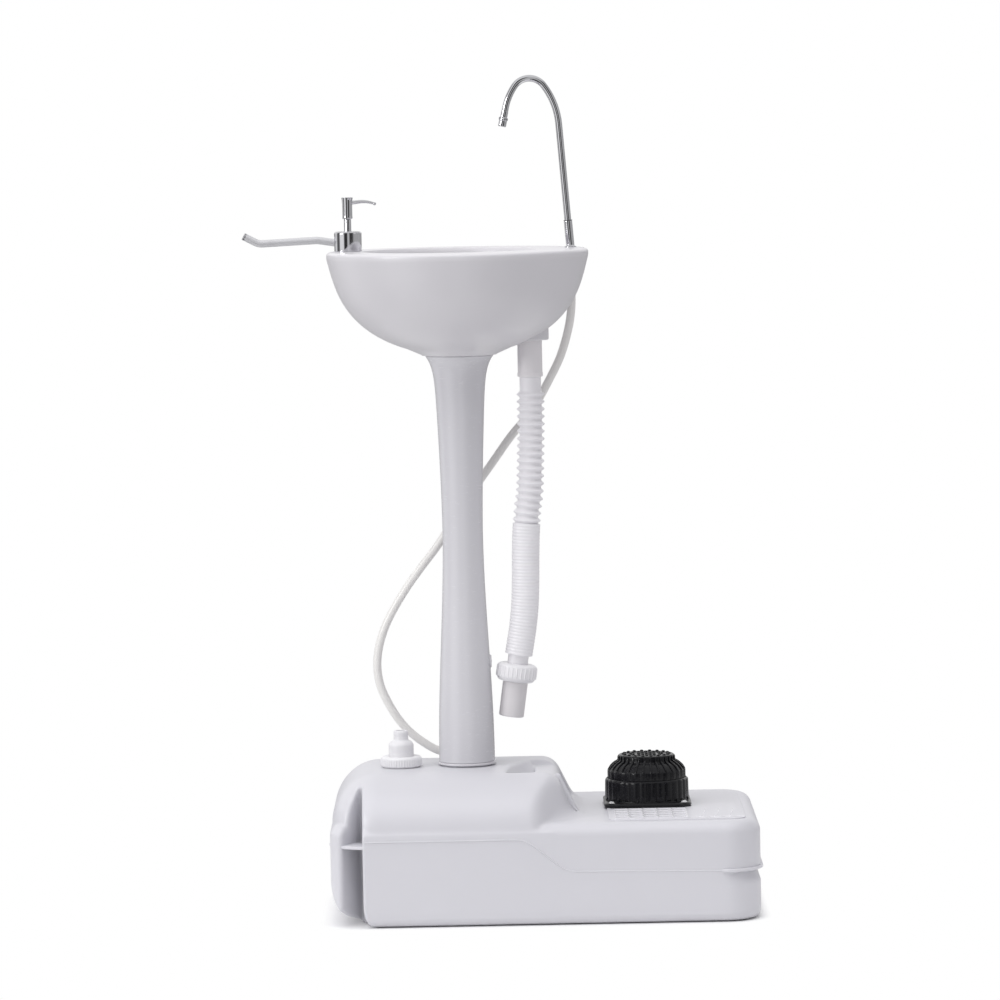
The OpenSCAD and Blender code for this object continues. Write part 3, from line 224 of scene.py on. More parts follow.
def moulded_surface():
    """the look of moulded plastic: cloudy colour, fine grain, scuffs, light dust, edges worn
    lighter (partly a painted highlight) and creases darkened by grime and painted shade
    """
    group, given = new_tree("moulded_surface", "ShaderNodeTree", [
        ("Colour", "Color", (0.8, 0.8, 0.8, 1)), ("Cloud", "Float", 0.03),
        ("Roughness", "Float", 0.4), ("Grain Scale", "Float", 900.0),
        ("Grain Depth", "Float", 0.05), ("Scuffs", "Float", 0.06),
        ("Edge Wear", "Float", 0.5)], surface_sockets)
    where = add(group, "ShaderNodeTexCoord").outputs["Object"]
    cloud = noise(group, where, 9.0, 4.0, 0.55)
    grain = noise(group, where, given["Grain Scale"], 2.0, 0.6)
    stretch = add(group, "ShaderNodeMapping", Vector=where, Scale=(110.0, 110.0, 520.0))
    marks = ramp(group, noise(group, stretch.outputs[0], 1.0, 3.0, 0.7), 0.56, 0.72)
    worn = number(group, "MULTIPLY", marks, given["Scuffs"])
    form = add(group, "ShaderNodeNewGeometry").outputs
    # Pointiness: convex edges are made lighter, which is wear and, where the edge setting is
    # raised, a painted highlight; hollows and creases are made darker, partly grime and partly
    # painted shade.
    rubbed_wear_and_painted_highlight = ramp(group, form["Pointiness"], 0.52, 0.60)
    crease_grime_and_painted_shade = ramp(group, form["Pointiness"], 0.49, 0.40)
    edge = number(group, "MULTIPLY", rubbed_wear_and_painted_highlight, given["Edge Wear"])
    grime_and_painted_shade = number(group, "MULTIPLY", crease_grime_and_painted_shade, given["Edge Wear"])
    up = add(group, "ShaderNodeSeparateXYZ", _0=form["Normal"]).outputs["Z"]
    upward = number(group, "POWER", number(group, "MAXIMUM", up, 0.0), 4.0)
    dust = number(group, "MULTIPLY", upward, cloud)
    shift = number(group, "MULTIPLY_ADD", cloud, 2.0, -1.0)
    bright = number(group, "MULTIPLY_ADD", shift, given["Cloud"], 1.0)
    rough = given["Roughness"]
    for mask, light in ((worn, -0.15), (edge, 0.08), (grime_and_painted_shade, -0.16)):
        bright = number(group, "MULTIPLY_ADD", mask, light, bright)
    for mask, dulling in ((shift, 0.06), (edge, -0.08), (dust, 0.08)):
        rough = number(group, "MULTIPLY_ADD", mask, dulling, rough)
    bump = add(group, "ShaderNodeBump", Distance=0.0004, Height=grain,
               Strength=given["Grain Depth"])
    paint = add(group, "ShaderNodeVectorMath", operation="SCALE", _0=given["Colour"], Scale=bright)
    add(group, "NodeGroupOutput", Colour=paint.outputs[0], Normal=bump.outputs[0],
        Roughness=number(group, "ADD", rough, worn, use_clamp=True))
    return group


moulded = moulded_surface()


def surfaced(name, group, colour, **values):
    """a Principled material fed by a surface group, and the shader's inputs"""
    material = bpy.data.materials.new(name)
    material.use_nodes = True
    tree = material.node_tree
    shader = tree.nodes["Principled BSDF"].inputs
    surface = add(tree, "ShaderNodeGroup", node_tree=group, Colour=(*colour, 1), **values)
    for label, _ in surface_sockets:
        tree.links.new(surface.outputs[label], shader["Base Color" if label == "Colour" else label])
    return material, shader


def plastic(name, colour, roughness, cloud=0.02, grain=900.0, depth=0.02, scuffs=0.05, edge=0.5,
            glow_depth=0.0):
    """moulded plastic: grain is the grain's scale, and depth how deep it is; edge lightens worn
    edges and darkens creases, partly wear and grime, partly painted highlight and painted shade
    """
    material, shader = surfaced(name, moulded, colour, Roughness=roughness, Cloud=cloud,
                                Grain_Scale=grain, Grain_Depth=depth, Scuffs=scuffs, Edge_Wear=edge)
    shader["IOR"].default_value = 1.5
    shader["Subsurface Weight"].default_value = glow_depth
    shader["Subsurface Radius"].default_value = (0.006, 0.006, 0.005)
    return material


milky_hose = plastic("milky_hose", (0.80, 0.79, 0.765), 0.30, cloud=0.05, grain=220, depth=0.01,
                     scuffs=0.02)
column_x = -91
supply_line = [
    (136, 35, 762), (136, 35, 744), (136, 35, 726), (134, 38, 706), (129, 42, 684), (121, 44, 660),
    (110, 46, 638), (95, 46, 611), (80, 46, 589), (60, 46, 566), (36, 46, 533), (14, 46, 503),
    (-8, 46, 470), (-29, 46, 438), (-50, 46, 411), (-68, 46, 387), (-84, 46, 362), (-96, 46, 339),
    (-104, 46, 315), (-107, 46, 291), (-104, 46, 268), (-96, 47, 248), (-84, 48, 227),
    (-70, 49, 210), (-53, 50, 196), (-36, 51, 186), (-20, 52, 182), (-10, 52, 182)]
supply_points = [Vector((column_x + x, y, z)) * MM for x, y, z in supply_line]


def through(points, s):
    """a smooth curve through the points, at s from 0 to the last one"""
    last = len(points) - 1
    i = min(int(s), last - 1)
    f = s - i
    a, b, c, d = points[max(i - 1, 0)], points[i], points[i + 1], points[min(i + 2, last)]
    return 0.5 * (2 * b + (c - a) * f + (2 * a - 5 * b + 4 * c - d) * f * f
                  + (3 * b - a - 3 * c + d) * f ** 3)


def smoothed(points, steps):
    return [through(points, i / steps) for i in range(steps * (len(points) - 1) + 1)]


smooth_supply = smoothed(supply_points, 3)
curve = bpy.data.curves.new("supply_hose_line", "CURVE")
curve.dimensions = "3D"
curve.bevel_depth = 4.95 * MM
curve.bevel_resolution = 5
curve.use_fill_caps = True
line = curve.splines.new("POLY")
line.points.add(len(smooth_supply) - 1)
for point, place in zip(line.points, smooth_supply):
    point.co = (*place, 1)
curve.materials.append(milky_hose)
supply_hose = placed("supply_hose_piece", curve)
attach(supply_hose, "stand")
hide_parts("supply_hose")


# ---- Drain hose -----------------------------------------------------------------
# The white ribbed waste hose: open, pulled-out ribs above and closed-up ribs below,
# with a plain cuff under the tailpiece and a plain neck that the union nut holds.

hose_plastic = plastic("hose_plastic", (0.825, 0.815, 0.835), 0.38, cloud=0.03, grain=500,
                       scuffs=0.04)
cuff_long, open_long, neck_long = 16.5, 160.0, 14.5
cuff_radius, neck_radius, bore_radius = 12.8, 12.3, 10.2
open_ribs, closed_ribs = 18, 40
hose_start = 0.2
plain_step, open_step, closed_step = 4.0, 1.1, 0.75
drain_line = [
    (84.5, 640), (84.5, 624), (84.5, 612), (84, 576), (83, 540), (81.5, 504), (78.3, 480),
    (76, 452), (75, 424), (74.4, 396), (73.2, 368), (70.2, 340), (64.5, 306)]
drain_points = [Vector((column_x + x, 0, z)) * MM for x, z in drain_line]
drain_tilt = math.radians(8)
drain_down = Vector((-math.sin(drain_tilt), 0, -math.cos(drain_tilt)))
end_long = 15 * MM
drain_points.append(drain_points[-1] + end_long * drain_down)
fine_steps, bore_rings = 24, 24
fine = smoothed(drain_points, fine_steps)
run = [0.0]
for a, b in zip(fine, fine[1:]):
    run.append(run[-1] + (b - a).length / MM)
hose_total = run[-1]


def loose_mesh(name, bm, soft_angle=32):
    """a bmesh in millimetres as a smooth-shaded mesh in metres, with its sharper edges kept"""
    bmesh.ops.remove_doubles(bm, verts=bm.verts, dist=1e-4)
    bmesh.ops.recalc_face_normals(bm, faces=bm.faces)
    bmesh.ops.scale(bm, vec=(MM, MM, MM), verts=bm.verts)
    for face in bm.faces:
        face.smooth = True
    for e in bm.edges:
        if len(e.link_faces) == 2 and e.calc_face_angle(0) > math.radians(soft_angle):
            e.smooth = False
    mesh = bpy.data.meshes.new(name)
    bm.to_mesh(mesh)
    bm.free()
    return mesh


def build(name, bm, material, soft_angle=32, body="stand"):
    """makes a finished piece of a bmesh that is in millimetres"""
    piece = placed(name, loose_mesh(name, bm, soft_angle))
    piece.data.materials.append(material)
    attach(piece, body)
    return piece


def skin_rings(bm, rings, closed=False, poles=False):
    """joins rings of equal count, and closes the ends: to each other, on a point, or flat"""
    made = [[bm.verts.new(p) for p in ring] for ring in rings]
    for low, high in zip(made, made[1:] + (made[:1] if closed else [])):
        for k in range(len(low)):
            n = (k + 1) % len(low)
            bm.faces.new((low[k], low[n], high[n], high[k]))
    if poles:
        for ring in (made[0], made[-1]):
            pole = bm.verts.new(sum((v.co for v in ring), Vector()) / len(ring))
            for k in range(len(ring)):
                bm.faces.new((ring[k], ring[(k + 1) % len(ring)], pole))
    elif not closed:
        bm.faces.new(made[0][::-1])
        bm.faces.new(made[-1])


def skinned(name, rings, material, soft_angle=32, body="stand", closed=False, poles=False):
    """a finished piece that is one skin over rings"""
    bm = bmesh.new()
    skin_rings(bm, rings, closed, poles)
    return build(name, bm, material, soft_angle, body)


def circle(count):
    """the angles of a ring of points"""
    return [2 * math.pi * k / count for k in range(count)]


def ring_round(centre, along, radius, count=40):
    side = Vector((0, 1, 0)).cross(along).normalized()
    up = along.cross(side).normalized()
    return [centre + radius * (math.cos(a) * side + math.sin(a) * up) for a in circle(count)]


def rib_wave(d, pitch):
    return 0.5 - 0.5 * math.cos(2 * math.pi * d / pitch)


def hose_radius(d):
    """outer radius at a distance down the hose: cuff, open ribs, closed ribs, neck"""
    if d < cuff_long:
        return cuff_radius
    if d < cuff_long + open_long:
        return 13.1 + 3.7 * rib_wave(d - cuff_long, open_long / open_ribs) ** 1.3
    if d < hose_total - neck_long:
        closed_long = hose_total - neck_long - cuff_long - open_long
        return 16.1 + 0.6 * rib_wave(d - cuff_long - open_long, closed_long / closed_ribs) ** 0.8
    return neck_radius


def on_hose(d):
    """the place and heading at a distance down the hose"""
    i = min(max(int(np.searchsorted(run, d)) - 1, 0), len(fine) - 2)
    place = fine[i].lerp(fine[i + 1], (d - run[i]) / (run[i + 1] - run[i]))
    reach = fine_steps // 2
    before, after = fine[max(i - reach, 0)], fine[min(i + reach, len(fine) - 1)]
    return place / MM, (after - before).normalized()


rings = []
d = hose_start
while d < hose_total:
    rings.append(ring_round(*on_hose(d), hose_radius(d)))
    if d < cuff_long - 2.5 or d > hose_total - neck_long + 2.5:
        d += plain_step
    else:
        d += closed_step if d > cuff_long + open_long - 0.5 else open_step
rings.append(ring_round(*on_hose(hose_total), neck_radius))
for step in range(bore_rings, -1, -1):
    d = max(hose_total * step / bore_rings, hose_start)
    rings.append(ring_round(*on_hose(d), bore_radius))
drain_hose = skinned("drain_hose_piece", rings, hose_plastic, soft_angle=50, closed=True)
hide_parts("drain_hose")


# ---- Union nut and outlet -------------------------------------------------------------------
# The moulded union nut screwed over the hose's neck, with grips round it, and the short
# outlet pipe that it holds. Both lean with the hose's end.

fitting_plastic = plastic("fitting_plastic", (0.81, 0.805, 0.82), 0.33)
outlet_plastic = plastic("outlet_plastic", (0.70, 0.68, 0.69), 0.36, cloud=0.03, grain=700,
                         depth=0.06, scuffs=0.08)


def turned(bm, profile, count=96, place=Matrix(), swell=None):
    """spins a profile of (radius, height) round Z; radius 0 closes it, otherwise it is a loop"""
    rows = []
    for r, z in profile:
        if r < 1e-6:
            rows.append([bm.verts.new(place @ Vector((0, 0, z)))])
            continue
        radii = [r + (swell(a, r, z) if swell else 0) for a in circle(count)]
        rows.append([bm.verts.new(place @ Vector((s * math.cos(a), s * math.sin(a), z)))
                     for a, s in zip(circle(count), radii)])
    loop = profile[0][0] > 1e-6 and profile[-1][0] > 1e-6
    for low, high in zip(rows, rows[1:] + (rows[:1] if loop else [])):
        for k in range(count):
            n = (k + 1) % count
            if len(low) == 1 and len(high) == 1:
                continue
            if len(low) == 1:
                bm.faces.new((low[0], high[n], high[k]))
            elif len(high) == 1:
                bm.faces.new((low[k], low[n], high[0]))
            else:
                bm.faces.new((low[k], low[n], high[n], high[k]))


def eased(points, ease=1.0, steps=4):
    """rounds the corners of a profile; a point may carry its own radius as a third number"""
    out = [points[0][:2]]
    for a, b, c in zip(points, points[1:], points[2:]):
        m = Vector(b[:2])
        va, vc = Vector((a[0] - b[0], a[1] - b[1])), Vector((c[0] - b[0], c[1] - b[1]))
        r = min(b[2] if len(b) > 2 else ease, va.length * 0.45, vc.length * 0.45)
        if r < 0.02:
            out.append(b[:2])
            continue
        p, q = m + va.normalized() * r, m + vc.normalized() * r
        for t in (i / steps for i in range(steps + 1)):
            out.append(tuple((1 - t) ** 2 * p + 2 * t * (1 - t) * m + t * t * q))
    return out + [points[-1][:2]]


def lathe(name, profile, material, place=Matrix(), count=96, ease=0.0, soft_angle=32,
          body="stand", swell=None):
    """a finished piece that is one turned profile"""
    bm = bmesh.new()
    turned(bm, eased(profile, ease) if ease else profile, count, place, swell)
    return build(name, bm, material, soft_angle, body)


def applied(piece, modifier):
    """gives a piece the plain mesh that its modifier makes, and takes the modifier off"""
    bpy.context.view_layer.update()
    depsgraph = bpy.context.evaluated_depsgraph_get()
    made = bpy.data.meshes.new_from_object(piece.evaluated_get(depsgraph))
    piece.modifiers.remove(modifier)
    piece.data = made
    return made


def run_tree(name, shape, tree, values, material, place=Matrix(), body="stand"):
    """runs a tree on a mesh and keeps what it makes as a plain mesh, set in its place"""
    piece = placed(name, shape)
    modifier = piece.modifiers.new(name, "NODES")
    modifier.node_group = tree
    sockets = {s.name: s.identifier for s in tree.interface.items_tree if s.in_out == "INPUT"}
    for label, value in {"Finish": material, **values}.items():
        modifier[sockets[label]] = value
    made = applied(piece, modifier)
    made.materials.clear()
    made.materials.append(material)
    made.polygons.foreach_set("material_index", [0] * len(made.polygons))
    made.transform(place)
    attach(piece, body)
    return piece


def shaping_tree(name, numbers):
    """an empty Geometry Nodes tree that takes a geometry, a material and named numbers"""
    inputs = [("Geometry", "Geometry"), ("Finish", "Material")] + numbers
    return new_tree(name, "GeometryNodeTree", inputs, [("Geometry", "Geometry")])


def finish_tree(tree, given, source):
    """ends a tree with Realize Instances and Set Material"""
    real = add(tree, "GeometryNodeRealizeInstances", _0=source)
    dressed = add(tree, "GeometryNodeSetMaterial", Geometry=real.outputs[0],
                  Material=given["Finish"])
    add(tree, "NodeGroupOutput", _0=dressed.outputs[0])
    return tree


def ring_tree():
    """copies of a shape set round a ring, each turned to face outwards"""
    tree, given = shaping_tree("ring_of_copies", [
        ("Count", "Int", 12), ("Ring Radius", "Float", 0.02), ("First Turn", "Float", 0.0)])
    spots = add(tree, "GeometryNodeMeshCircle", Vertices=given["Count"],
                Radius=given["Ring Radius"])
    index = add(tree, "GeometryNodeInputIndex").outputs[0]
    turn = number(tree, "DIVIDE", number(tree, "MULTIPLY", index, 2 * math.pi), given["Count"])
    copies = add(tree, "GeometryNodeInstanceOnPoints", Points=spots.outputs[0],
                 Instance=given["Geometry"],
                 Rotation=add(tree, "ShaderNodeCombineXYZ", Z=turn).outputs[0])
    around = add(tree, "GeometryNodeTransform", Geometry=copies.outputs[0],
                 Rotation=add(tree, "ShaderNodeCombineXYZ", Z=given["First Turn"]).outputs[0])
    return finish_tree(tree, given, around.outputs[0])


ring_of_copies = ring_tree()


def copies_round(name, shape, count, radius, material, place, first_turn=0.0, body="stand"):
    """copies of a shape round a place, which is in millimetres"""
    in_metres = place.copy()
    in_metres.translation = place.translation * MM
    return run_tree(name, shape, ring_of_copies, {
        "Count": count, "Ring Radius": radius * MM, "First Turn": first_turn},
        material, in_metres, body)


def ridge(centre, half_deep, half_wide, sides, levels):
    """one upright ridge of a grip, an oval drawn in at both ends; levels are (scale, height)"""
    oval = [Vector((centre + half_deep * math.cos(a), half_wide * math.sin(a), 0))
            for a in circle(sides)]
    bm = bmesh.new()
    skin_rings(bm, [[p * scale + Vector((0, 0, z)) for p in oval] for scale, z in levels])
    return loose_mesh("ridge", bm)


def join(name, pieces, body="stand"):
    """joins finished pieces of one body into one mesh, and keeps each one's material"""
    bm = bmesh.new()
    materials = []
    for piece in pieces:
        start = len(bm.faces)
        bm.from_mesh(piece.data)
        bm.faces.ensure_lookup_table()
        used = piece.data.materials[0]
        if used not in materials:
            materials.append(used)
        for face in bm.faces[start:]:
            face.material_index = materials.index(used)
    mesh = bpy.data.meshes.new(name)
    bm.to_mesh(mesh)
    bm.free()
    for material in materials:
        mesh.materials.append(material)
    for piece in pieces:
        bpy.data.objects.remove(piece)
    joined = placed(name, mesh)
    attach(joined, body)
    return joined


def shift(x, y, z):
    """a move without a turn"""
    return Matrix.Translation((x, y, z))


def lean(degrees):
    """a turn about Y"""
    return Matrix.Rotation(math.radians(degrees), 4, "Y")


downward = drain_down.to_track_quat("Z", "Y").to_matrix().to_4x4()
hose_end_place = shift(*drain_points[-1] / MM) @ downward
nut_place = hose_end_place @ shift(0, 0, -4)
nut = lathe("nut_body", [
    (12.8, 0), (19.8, 0, 1.8), (23.2, 2.0, 1.4), (23.8, 4, 0.6), (23.9, 15.5, 1.6),
    (21.6, 20, 1.4), (19.2, 21.5, 0.8), (15.7, 21.5, 0.4), (15.7, 19.5), (18.6, 19), (18.6, 4.5),
    (12.8, 4.5)], fitting_plastic, nut_place, ease=0.5)
grip = ridge(-0.5, 1.0, 1.1, 12, ((0.5, 3.4), (1, 4.8), (1, 14.8), (0.5, 16.6)))
grips = copies_round("nut_grips", grip, 28, 24.0, fitting_plastic, nut_place)
nut = join("union_nut_piece", [nut, grips])
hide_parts("drain_union_nut")
outlet = lathe("outlet_piece", [
    (10.2, 0.2), (17.8, 0.2), (17.8, 6), (15, 6.2), (15, 59), (14.2, 59.9, 0.4), (12.4, 59.9, 0.4),
    (12.2, 40), (10.2, 38)], outlet_plastic, hose_end_place, ease=0.4)
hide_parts("drain_outlet")


# ---- Tank -------------------------------------------------------------------------
# One blow-moulded HDPE shell: a low deck for the foot pump and a tall, round-shouldered
# section for the column, with a hand slot under a bar and a groove at each left corner.
# It is shaped as one soft solid, the way the mould blends its forms into each other.

tank_plastic = plastic("tank_plastic", (0.638, 0.635, 0.667), 0.36, cloud=0.025, grain=650,
                       depth=0.06)

tank_long, tank_wide, tank_corner = 510, 310, 42
corner_x, corner_y = tank_long / 2 - tank_corner, tank_wide / 2 - tank_corner
low_top, tall_top, belt_height = 120, 174, 112
step_edge, step_lean = 13, 27
shoulder_x, shoulder_y, shoulder_z = -197, 63, 114
shoulder_long, shoulder_wide, shoulder_high = 56, 90, 60
slot_floor, groove_wall = 129, -216
fin_low, fin_high = 60, 63.5


def soft_low(a, b, k):
    """the lower of two fields, blended over k millimetres"""
    h = np.clip(0.5 + 0.5 * (b - a) / k, 0, 1)
    return b + (a - b) * h - k * h * (1 - h)


def soft_high(a, b, k):
    return -soft_low(-a, -b, k)


def rounded(a, b, radius):
    """two fields that meet in a corner of this radius"""
    return np.hypot(np.maximum(a, 0), np.maximum(b, 0)) + np.minimum(np.maximum(a, b), 0) - radius


def slab(plan, z, low, high, edge):
    """a plan raised from low to high with rounded edges"""
    return rounded(plan + edge, np.abs(z - (low + high) / 2) - (high - low) / 2 + edge, edge)


def oval(a, reach_a, b, reach_b):
    """a field that is 0 on an oval corner, where both a and b are past 0"""
    return (np.hypot(np.maximum(a, 0) / reach_a, np.maximum(b, 0) / reach_b) - 1) * reach_a


def block(x, y, z, low, high, edge):
    q = [np.abs(v - (a + b) / 2) - (b - a) / 2 + edge for v, a, b in zip((x, y, z), low, high)]
    out = np.sqrt(sum(np.maximum(v, 0) ** 2 for v in q))
    return out + np.minimum(np.maximum(np.maximum(q[0], q[1]), q[2]), 0) - edge


def rod(x, y, z, a, b, radius):
    """distance to a straight rod from a to b"""
    ab = [q - p for p, q in zip(a, b)]
    t = sum((v - p) * d for v, p, d in zip((x, y, z), a, ab)) / sum(d * d for d in ab)
    t = np.clip(t, 0, 1)
    return np.sqrt(sum((v - p - d * t) ** 2 for v, p, d in zip((x, y, z), a, ab))) - radius


def tank_form(x, y, z):
    """the tank's field, in millimetres: below 0 inside it and above 0 outside"""
    side = np.abs(y)
    plan = rounded(np.abs(x) - corner_x, side - corner_y, tank_corner)
    # The low deck, and the squarer lower body of the tall end, up to the belt line.
    low = slab(plan, z, 0, low_top, np.where(z > 60, 16, 12))
    belt = soft_high(soft_high(slab(plan, z, -60, belt_height, 3), x - 22, 18), 14 - z, 3)
    # The tall section: a round-shouldered dome with a leaning step and two flat facets.
    u = np.maximum(side - shoulder_y, 0) / shoulder_wide
    w = np.maximum(shoulder_x - x, 0) / shoulder_long
    v = np.maximum(z - shoulder_z, 0) / shoulder_high
    tall = (np.sqrt(u * u + v * v + w * w) - 1) * shoulder_high
    rise = tall_top - low_top
    face = ((x - step_edge) * rise + (z - tall_top) * step_lean) / math.hypot(step_lean, rise)
    tall = soft_high(tall, face, 15)
    tall = soft_high(tall, 0.791 * x + 0.536 * side + 0.298 * z - 111, 8)
    tall = soft_high(tall, 40 - z, 3)
    flare = np.clip((x + 25) / 40, 0, 1)
    inward = np.clip((146 - side) / 40, 0, 1) * np.clip((z - 100) / 14, 0, 1)
    body = soft_low(soft_low(low, belt, 1.5), tall, 2.2 + 15 * flare * inward)
    # The hand slot with its bowed end, the way under the bar, and the bar's saddle.
    bowed = oval(-10 - x, 35, y + 78, 102)
    slot = block(x, y, z, (-60, -78, slot_floor), (-10, 60, 220), 5)
    slot = np.maximum(slot, bowed + 0.5 * (tall_top - z))
    grip = block(x, y, z, (-26, -51, slot_floor), (80, 51, 156), 5)
    saddle = block(x, y, z, (-14, -72, 168.5), (60, 30, 230), 5)
    body = soft_high(soft_high(soft_high(body, -saddle, 5), -slot, 2.5), -grip, 3)
    # The strip down the step beside the bar, and the slit next to it.
    body = soft_low(body, rod(x, -y, z, (17, 66, 166), (38, 71, 123), 3.8), 1.2)
    body = soft_high(body, -rod(x, -y, z, (18.5, 75, 158), (35.5, 78.5, 124), 3.3), 1.2)
    # The end's round foot and the heels of the corner grooves.
    foot = oval(-215 - x, 40, 55 - z, 51)
    body = soft_high(body, soft_low(foot, -219 - x, 3), 3)
    heel = oval(-200 - x, 16, 27 - z, 27.2)
    body = soft_high(body, np.minimum(np.minimum(heel, side - 108), x + 219), 3)
    # The pocket under the fin at the low end.
    roof, floor_line = fin_low + 0.5, 46
    deeper = 9 * np.clip((x - 209) / 36, 0, 1) * (z - floor_line) / (roof - floor_line)
    pocket = np.minimum(np.minimum(plan + deeper, roof - z), np.minimum(z - floor_line, x - 200))
    body = soft_high(body, pocket, 1)
    # The upright groove at each left corner.
    slope = ((x + 240) * 37 + (side - 141) * 20) / 42.06
    groove = soft_high(x - groove_wall, -slope, 5)
    lip = 2.2 + 5.8 * np.clip((-220 - x) / 8, 0, 1)
    return soft_high(body, -groove, lip)


def skin_of(field, low, high, step):
    """the surface where a field crosses zero, as points and quads (surface nets)"""
    axes = [np.arange(a, b + step, step) for a, b in zip(low, high)]
    value = field(*np.meshgrid(*axes, indexing="ij"))
    inside = value < 0
    corners = [(i, j, k) for i in (0, 1) for j in (0, 1) for k in (0, 1)]
    cut = [slice(0, -1), slice(1, None)]
    count = sum(inside[cut[i], cut[j], cut[k]].astype(np.int8) for i, j, k in corners)
    cells = np.argwhere((count > 0) & (count < 8))
    cell_number = np.full(count.shape, -1, dtype=np.int64)
    cell_number[tuple(cells.T)] = np.arange(len(cells))
    total, hits = np.zeros((len(cells), 3)), np.zeros(len(cells))
    for a in corners:
        for axis in range(3):
            if a[axis]:
                continue
            b = tuple(c + (i == axis) for i, c in enumerate(a))
            va = value[tuple((cells + a).T)]
            vb = value[tuple((cells + b).T)]
            crossed = (va < 0) != (vb < 0)
            share = np.where(crossed, va / np.where(crossed, va - vb, 1), 0)
            place = np.array(a, float) + np.eye(3)[axis] * share[:, None]
            total += np.where(crossed[:, None], place, 0)
            hits += crossed
    points = np.array([a[0] for a in axes]) + step * (cells + total / hits[:, None])
    # Three times, each point is drawn along the slope to the true surface.
    d = 0.2
    for _ in range(3):
        slope = np.stack([(field(*(points + d * e).T) - field(*(points - d * e).T)) / (2 * d)
                          for e in np.eye(3)], axis=1)
        steepness = np.maximum((slope ** 2).sum(axis=1), 0.05)
        move = slope * (field(*points.T) / steepness)[:, None]
        size = np.linalg.norm(move, axis=1)
        points -= move * np.minimum(1, 0.5 * step / np.maximum(size, 1e-9))[:, None]
    quads = []
    for axis in range(3):
        u, v = (axis + 1) % 3, (axis + 2) % 3
        ahead, here = [slice(None)] * 3, [slice(None)] * 3
        here[axis], ahead[axis] = slice(0, -1), slice(1, None)
        edges = np.argwhere(inside[tuple(here)] != inside[tuple(ahead)])
        edges = edges[(edges[:, u] > 0) & (edges[:, v] > 0)]
        edges = edges[(edges[:, u] < count.shape[u]) & (edges[:, v] < count.shape[v])]
        around = []
        for du, dv in ((-1, -1), (0, -1), (0, 0), (-1, 0)):
            c = edges.copy()
            c[:, u] += du
            c[:, v] += dv
            around.append(cell_number[tuple(c.T)])
        around = np.stack(around, axis=1)
        outward = inside[tuple(edges.T)]
        around[~outward] = around[~outward][:, ::-1]
        quads.append(around)
    return points, np.concatenate(quads)


tank_step = 2.5
points, quads = skin_of(tank_form, (-262, -162, -6), (262, 162, 181), tank_step)
mesh = bpy.data.meshes.new("tank_shell")
mesh.from_pydata((points * MM).tolist(), [], quads.tolist())
mesh.polygons.foreach_set("use_smooth", [True] * len(mesh.polygons))
mesh.materials.append(tank_plastic)
mesh.validate()
tank = placed("tank_shell", mesh)
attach(tank, "stand")
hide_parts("tank")


# ---- Tank: parting line, webs, end fin, tread and filler neck ----------------------
# What the two mould halves and the blow pin leave on the same HDPE shell: a fine bead
# where they met, a web in each corner groove, a fin round the low end, a raised tread
# with a grid under the foot pump, and the threaded neck that the cap screws on.

def bead_tree():
    """a round bead along the line that it is given"""
    tree, given = shaping_tree("bead_along_line", [("Radius", "Float", 0.001), ("Sides", "Int", 8)])
    line = add(tree, "GeometryNodeMeshToCurve", _0=given["Geometry"])
    outline = add(tree, "GeometryNodeCurvePrimitiveCircle", Radius=given["Radius"],
                  Resolution=given["Sides"])
    skin = add(tree, "GeometryNodeCurveToMesh", Curve=line.outputs[0],
               Profile_Curve=outline.outputs[0], Fill_Caps=True)
    soft = add(tree, "GeometryNodeSetShadeSmooth", _0=skin.outputs[0])
    return finish_tree(tree, given, soft.outputs[0])


bead_along_line = bead_tree()


def bead(name, points, radius, material):
    """a bead on the tank along a chain of points in millimetres"""
    line = bpy.data.meshes.new(name)
    links = [(i, i + 1) for i in range(len(points) - 1)]
    line.from_pydata([Vector(p) * MM for p in points], links, [])
    values = {"Radius": radius * MM, "Sides": 8}
    run_tree(name, line, bead_along_line, values, material)


def corner(cx, cy, radius, start, stop, steps=10):
    """points of an arc, from one angle to another"""
    angles = [math.radians(start + (stop - start) * i / steps) for i in range(steps + 1)]
    return [(cx + radius * math.cos(a), cy + radius * math.sin(a)) for a in angles]


high_line, low_line = 102.7, 64
drop_starts, drop_ends = -34, 35


def parting_height(x):
    """height of the parting line along the tank's long faces"""
    if x < drop_starts:
        return high_line
    if x < drop_ends:
        s = (x - drop_starts) / (drop_ends - drop_starts)
        return high_line - (high_line - low_line) * (3 * s * s - 2 * s ** 3)
    return low_line - 2.2 * (x - drop_ends) / (corner_x - drop_ends)


def face_at(x, z):
    """where the tank's front face lies, at a place along it"""
    y = np.linspace(-162, -150, 481)
    return y[np.argmax(tank_form(np.full(y.shape, x), y, np.full(y.shape, z)) < 0)]


front_line = [(x, face_at(x, parting_height(x)) + (0 if x < 60 else 0.25), parting_height(x))
              for x in (-213.4 + 3.4 * i for i in range(126))]
back_line = [(x, -y, z) for x, y, z in front_line]
left_corners = corner(-corner_x, corner_y, 41.6, 143, 180)
left_corners += corner(-corner_x, -corner_y, 41.6, 180, 217)
left_line = [(x, y, 95.8) for x, y in left_corners]
for label, points in (("front", front_line), ("back", back_line), ("left", left_line)):
    bead("parting_bead_" + label, points, 0.95, tank_plastic)


def strip(bm, path, inner, low, high, edge=0.6):
    """a flat fin with a rounded rim: path is its outer edge, and inner stands in the wall"""
    rings = []
    for (ox, oy), (ix, iy) in zip(path, inner):
        rim, root = Vector((ox, oy, 0)), Vector((ix, iy, 0))
        set_in = rim - edge * Vector((ox - ix, oy - iy, 0)).normalized()
        rings.append([p + Vector((0, 0, z)) for p, z in (
            (root, low), (set_in, low), (rim, low + edge), (rim, high - edge), (set_in, high),
            (root, high))])
    skin_rings(bm, rings)


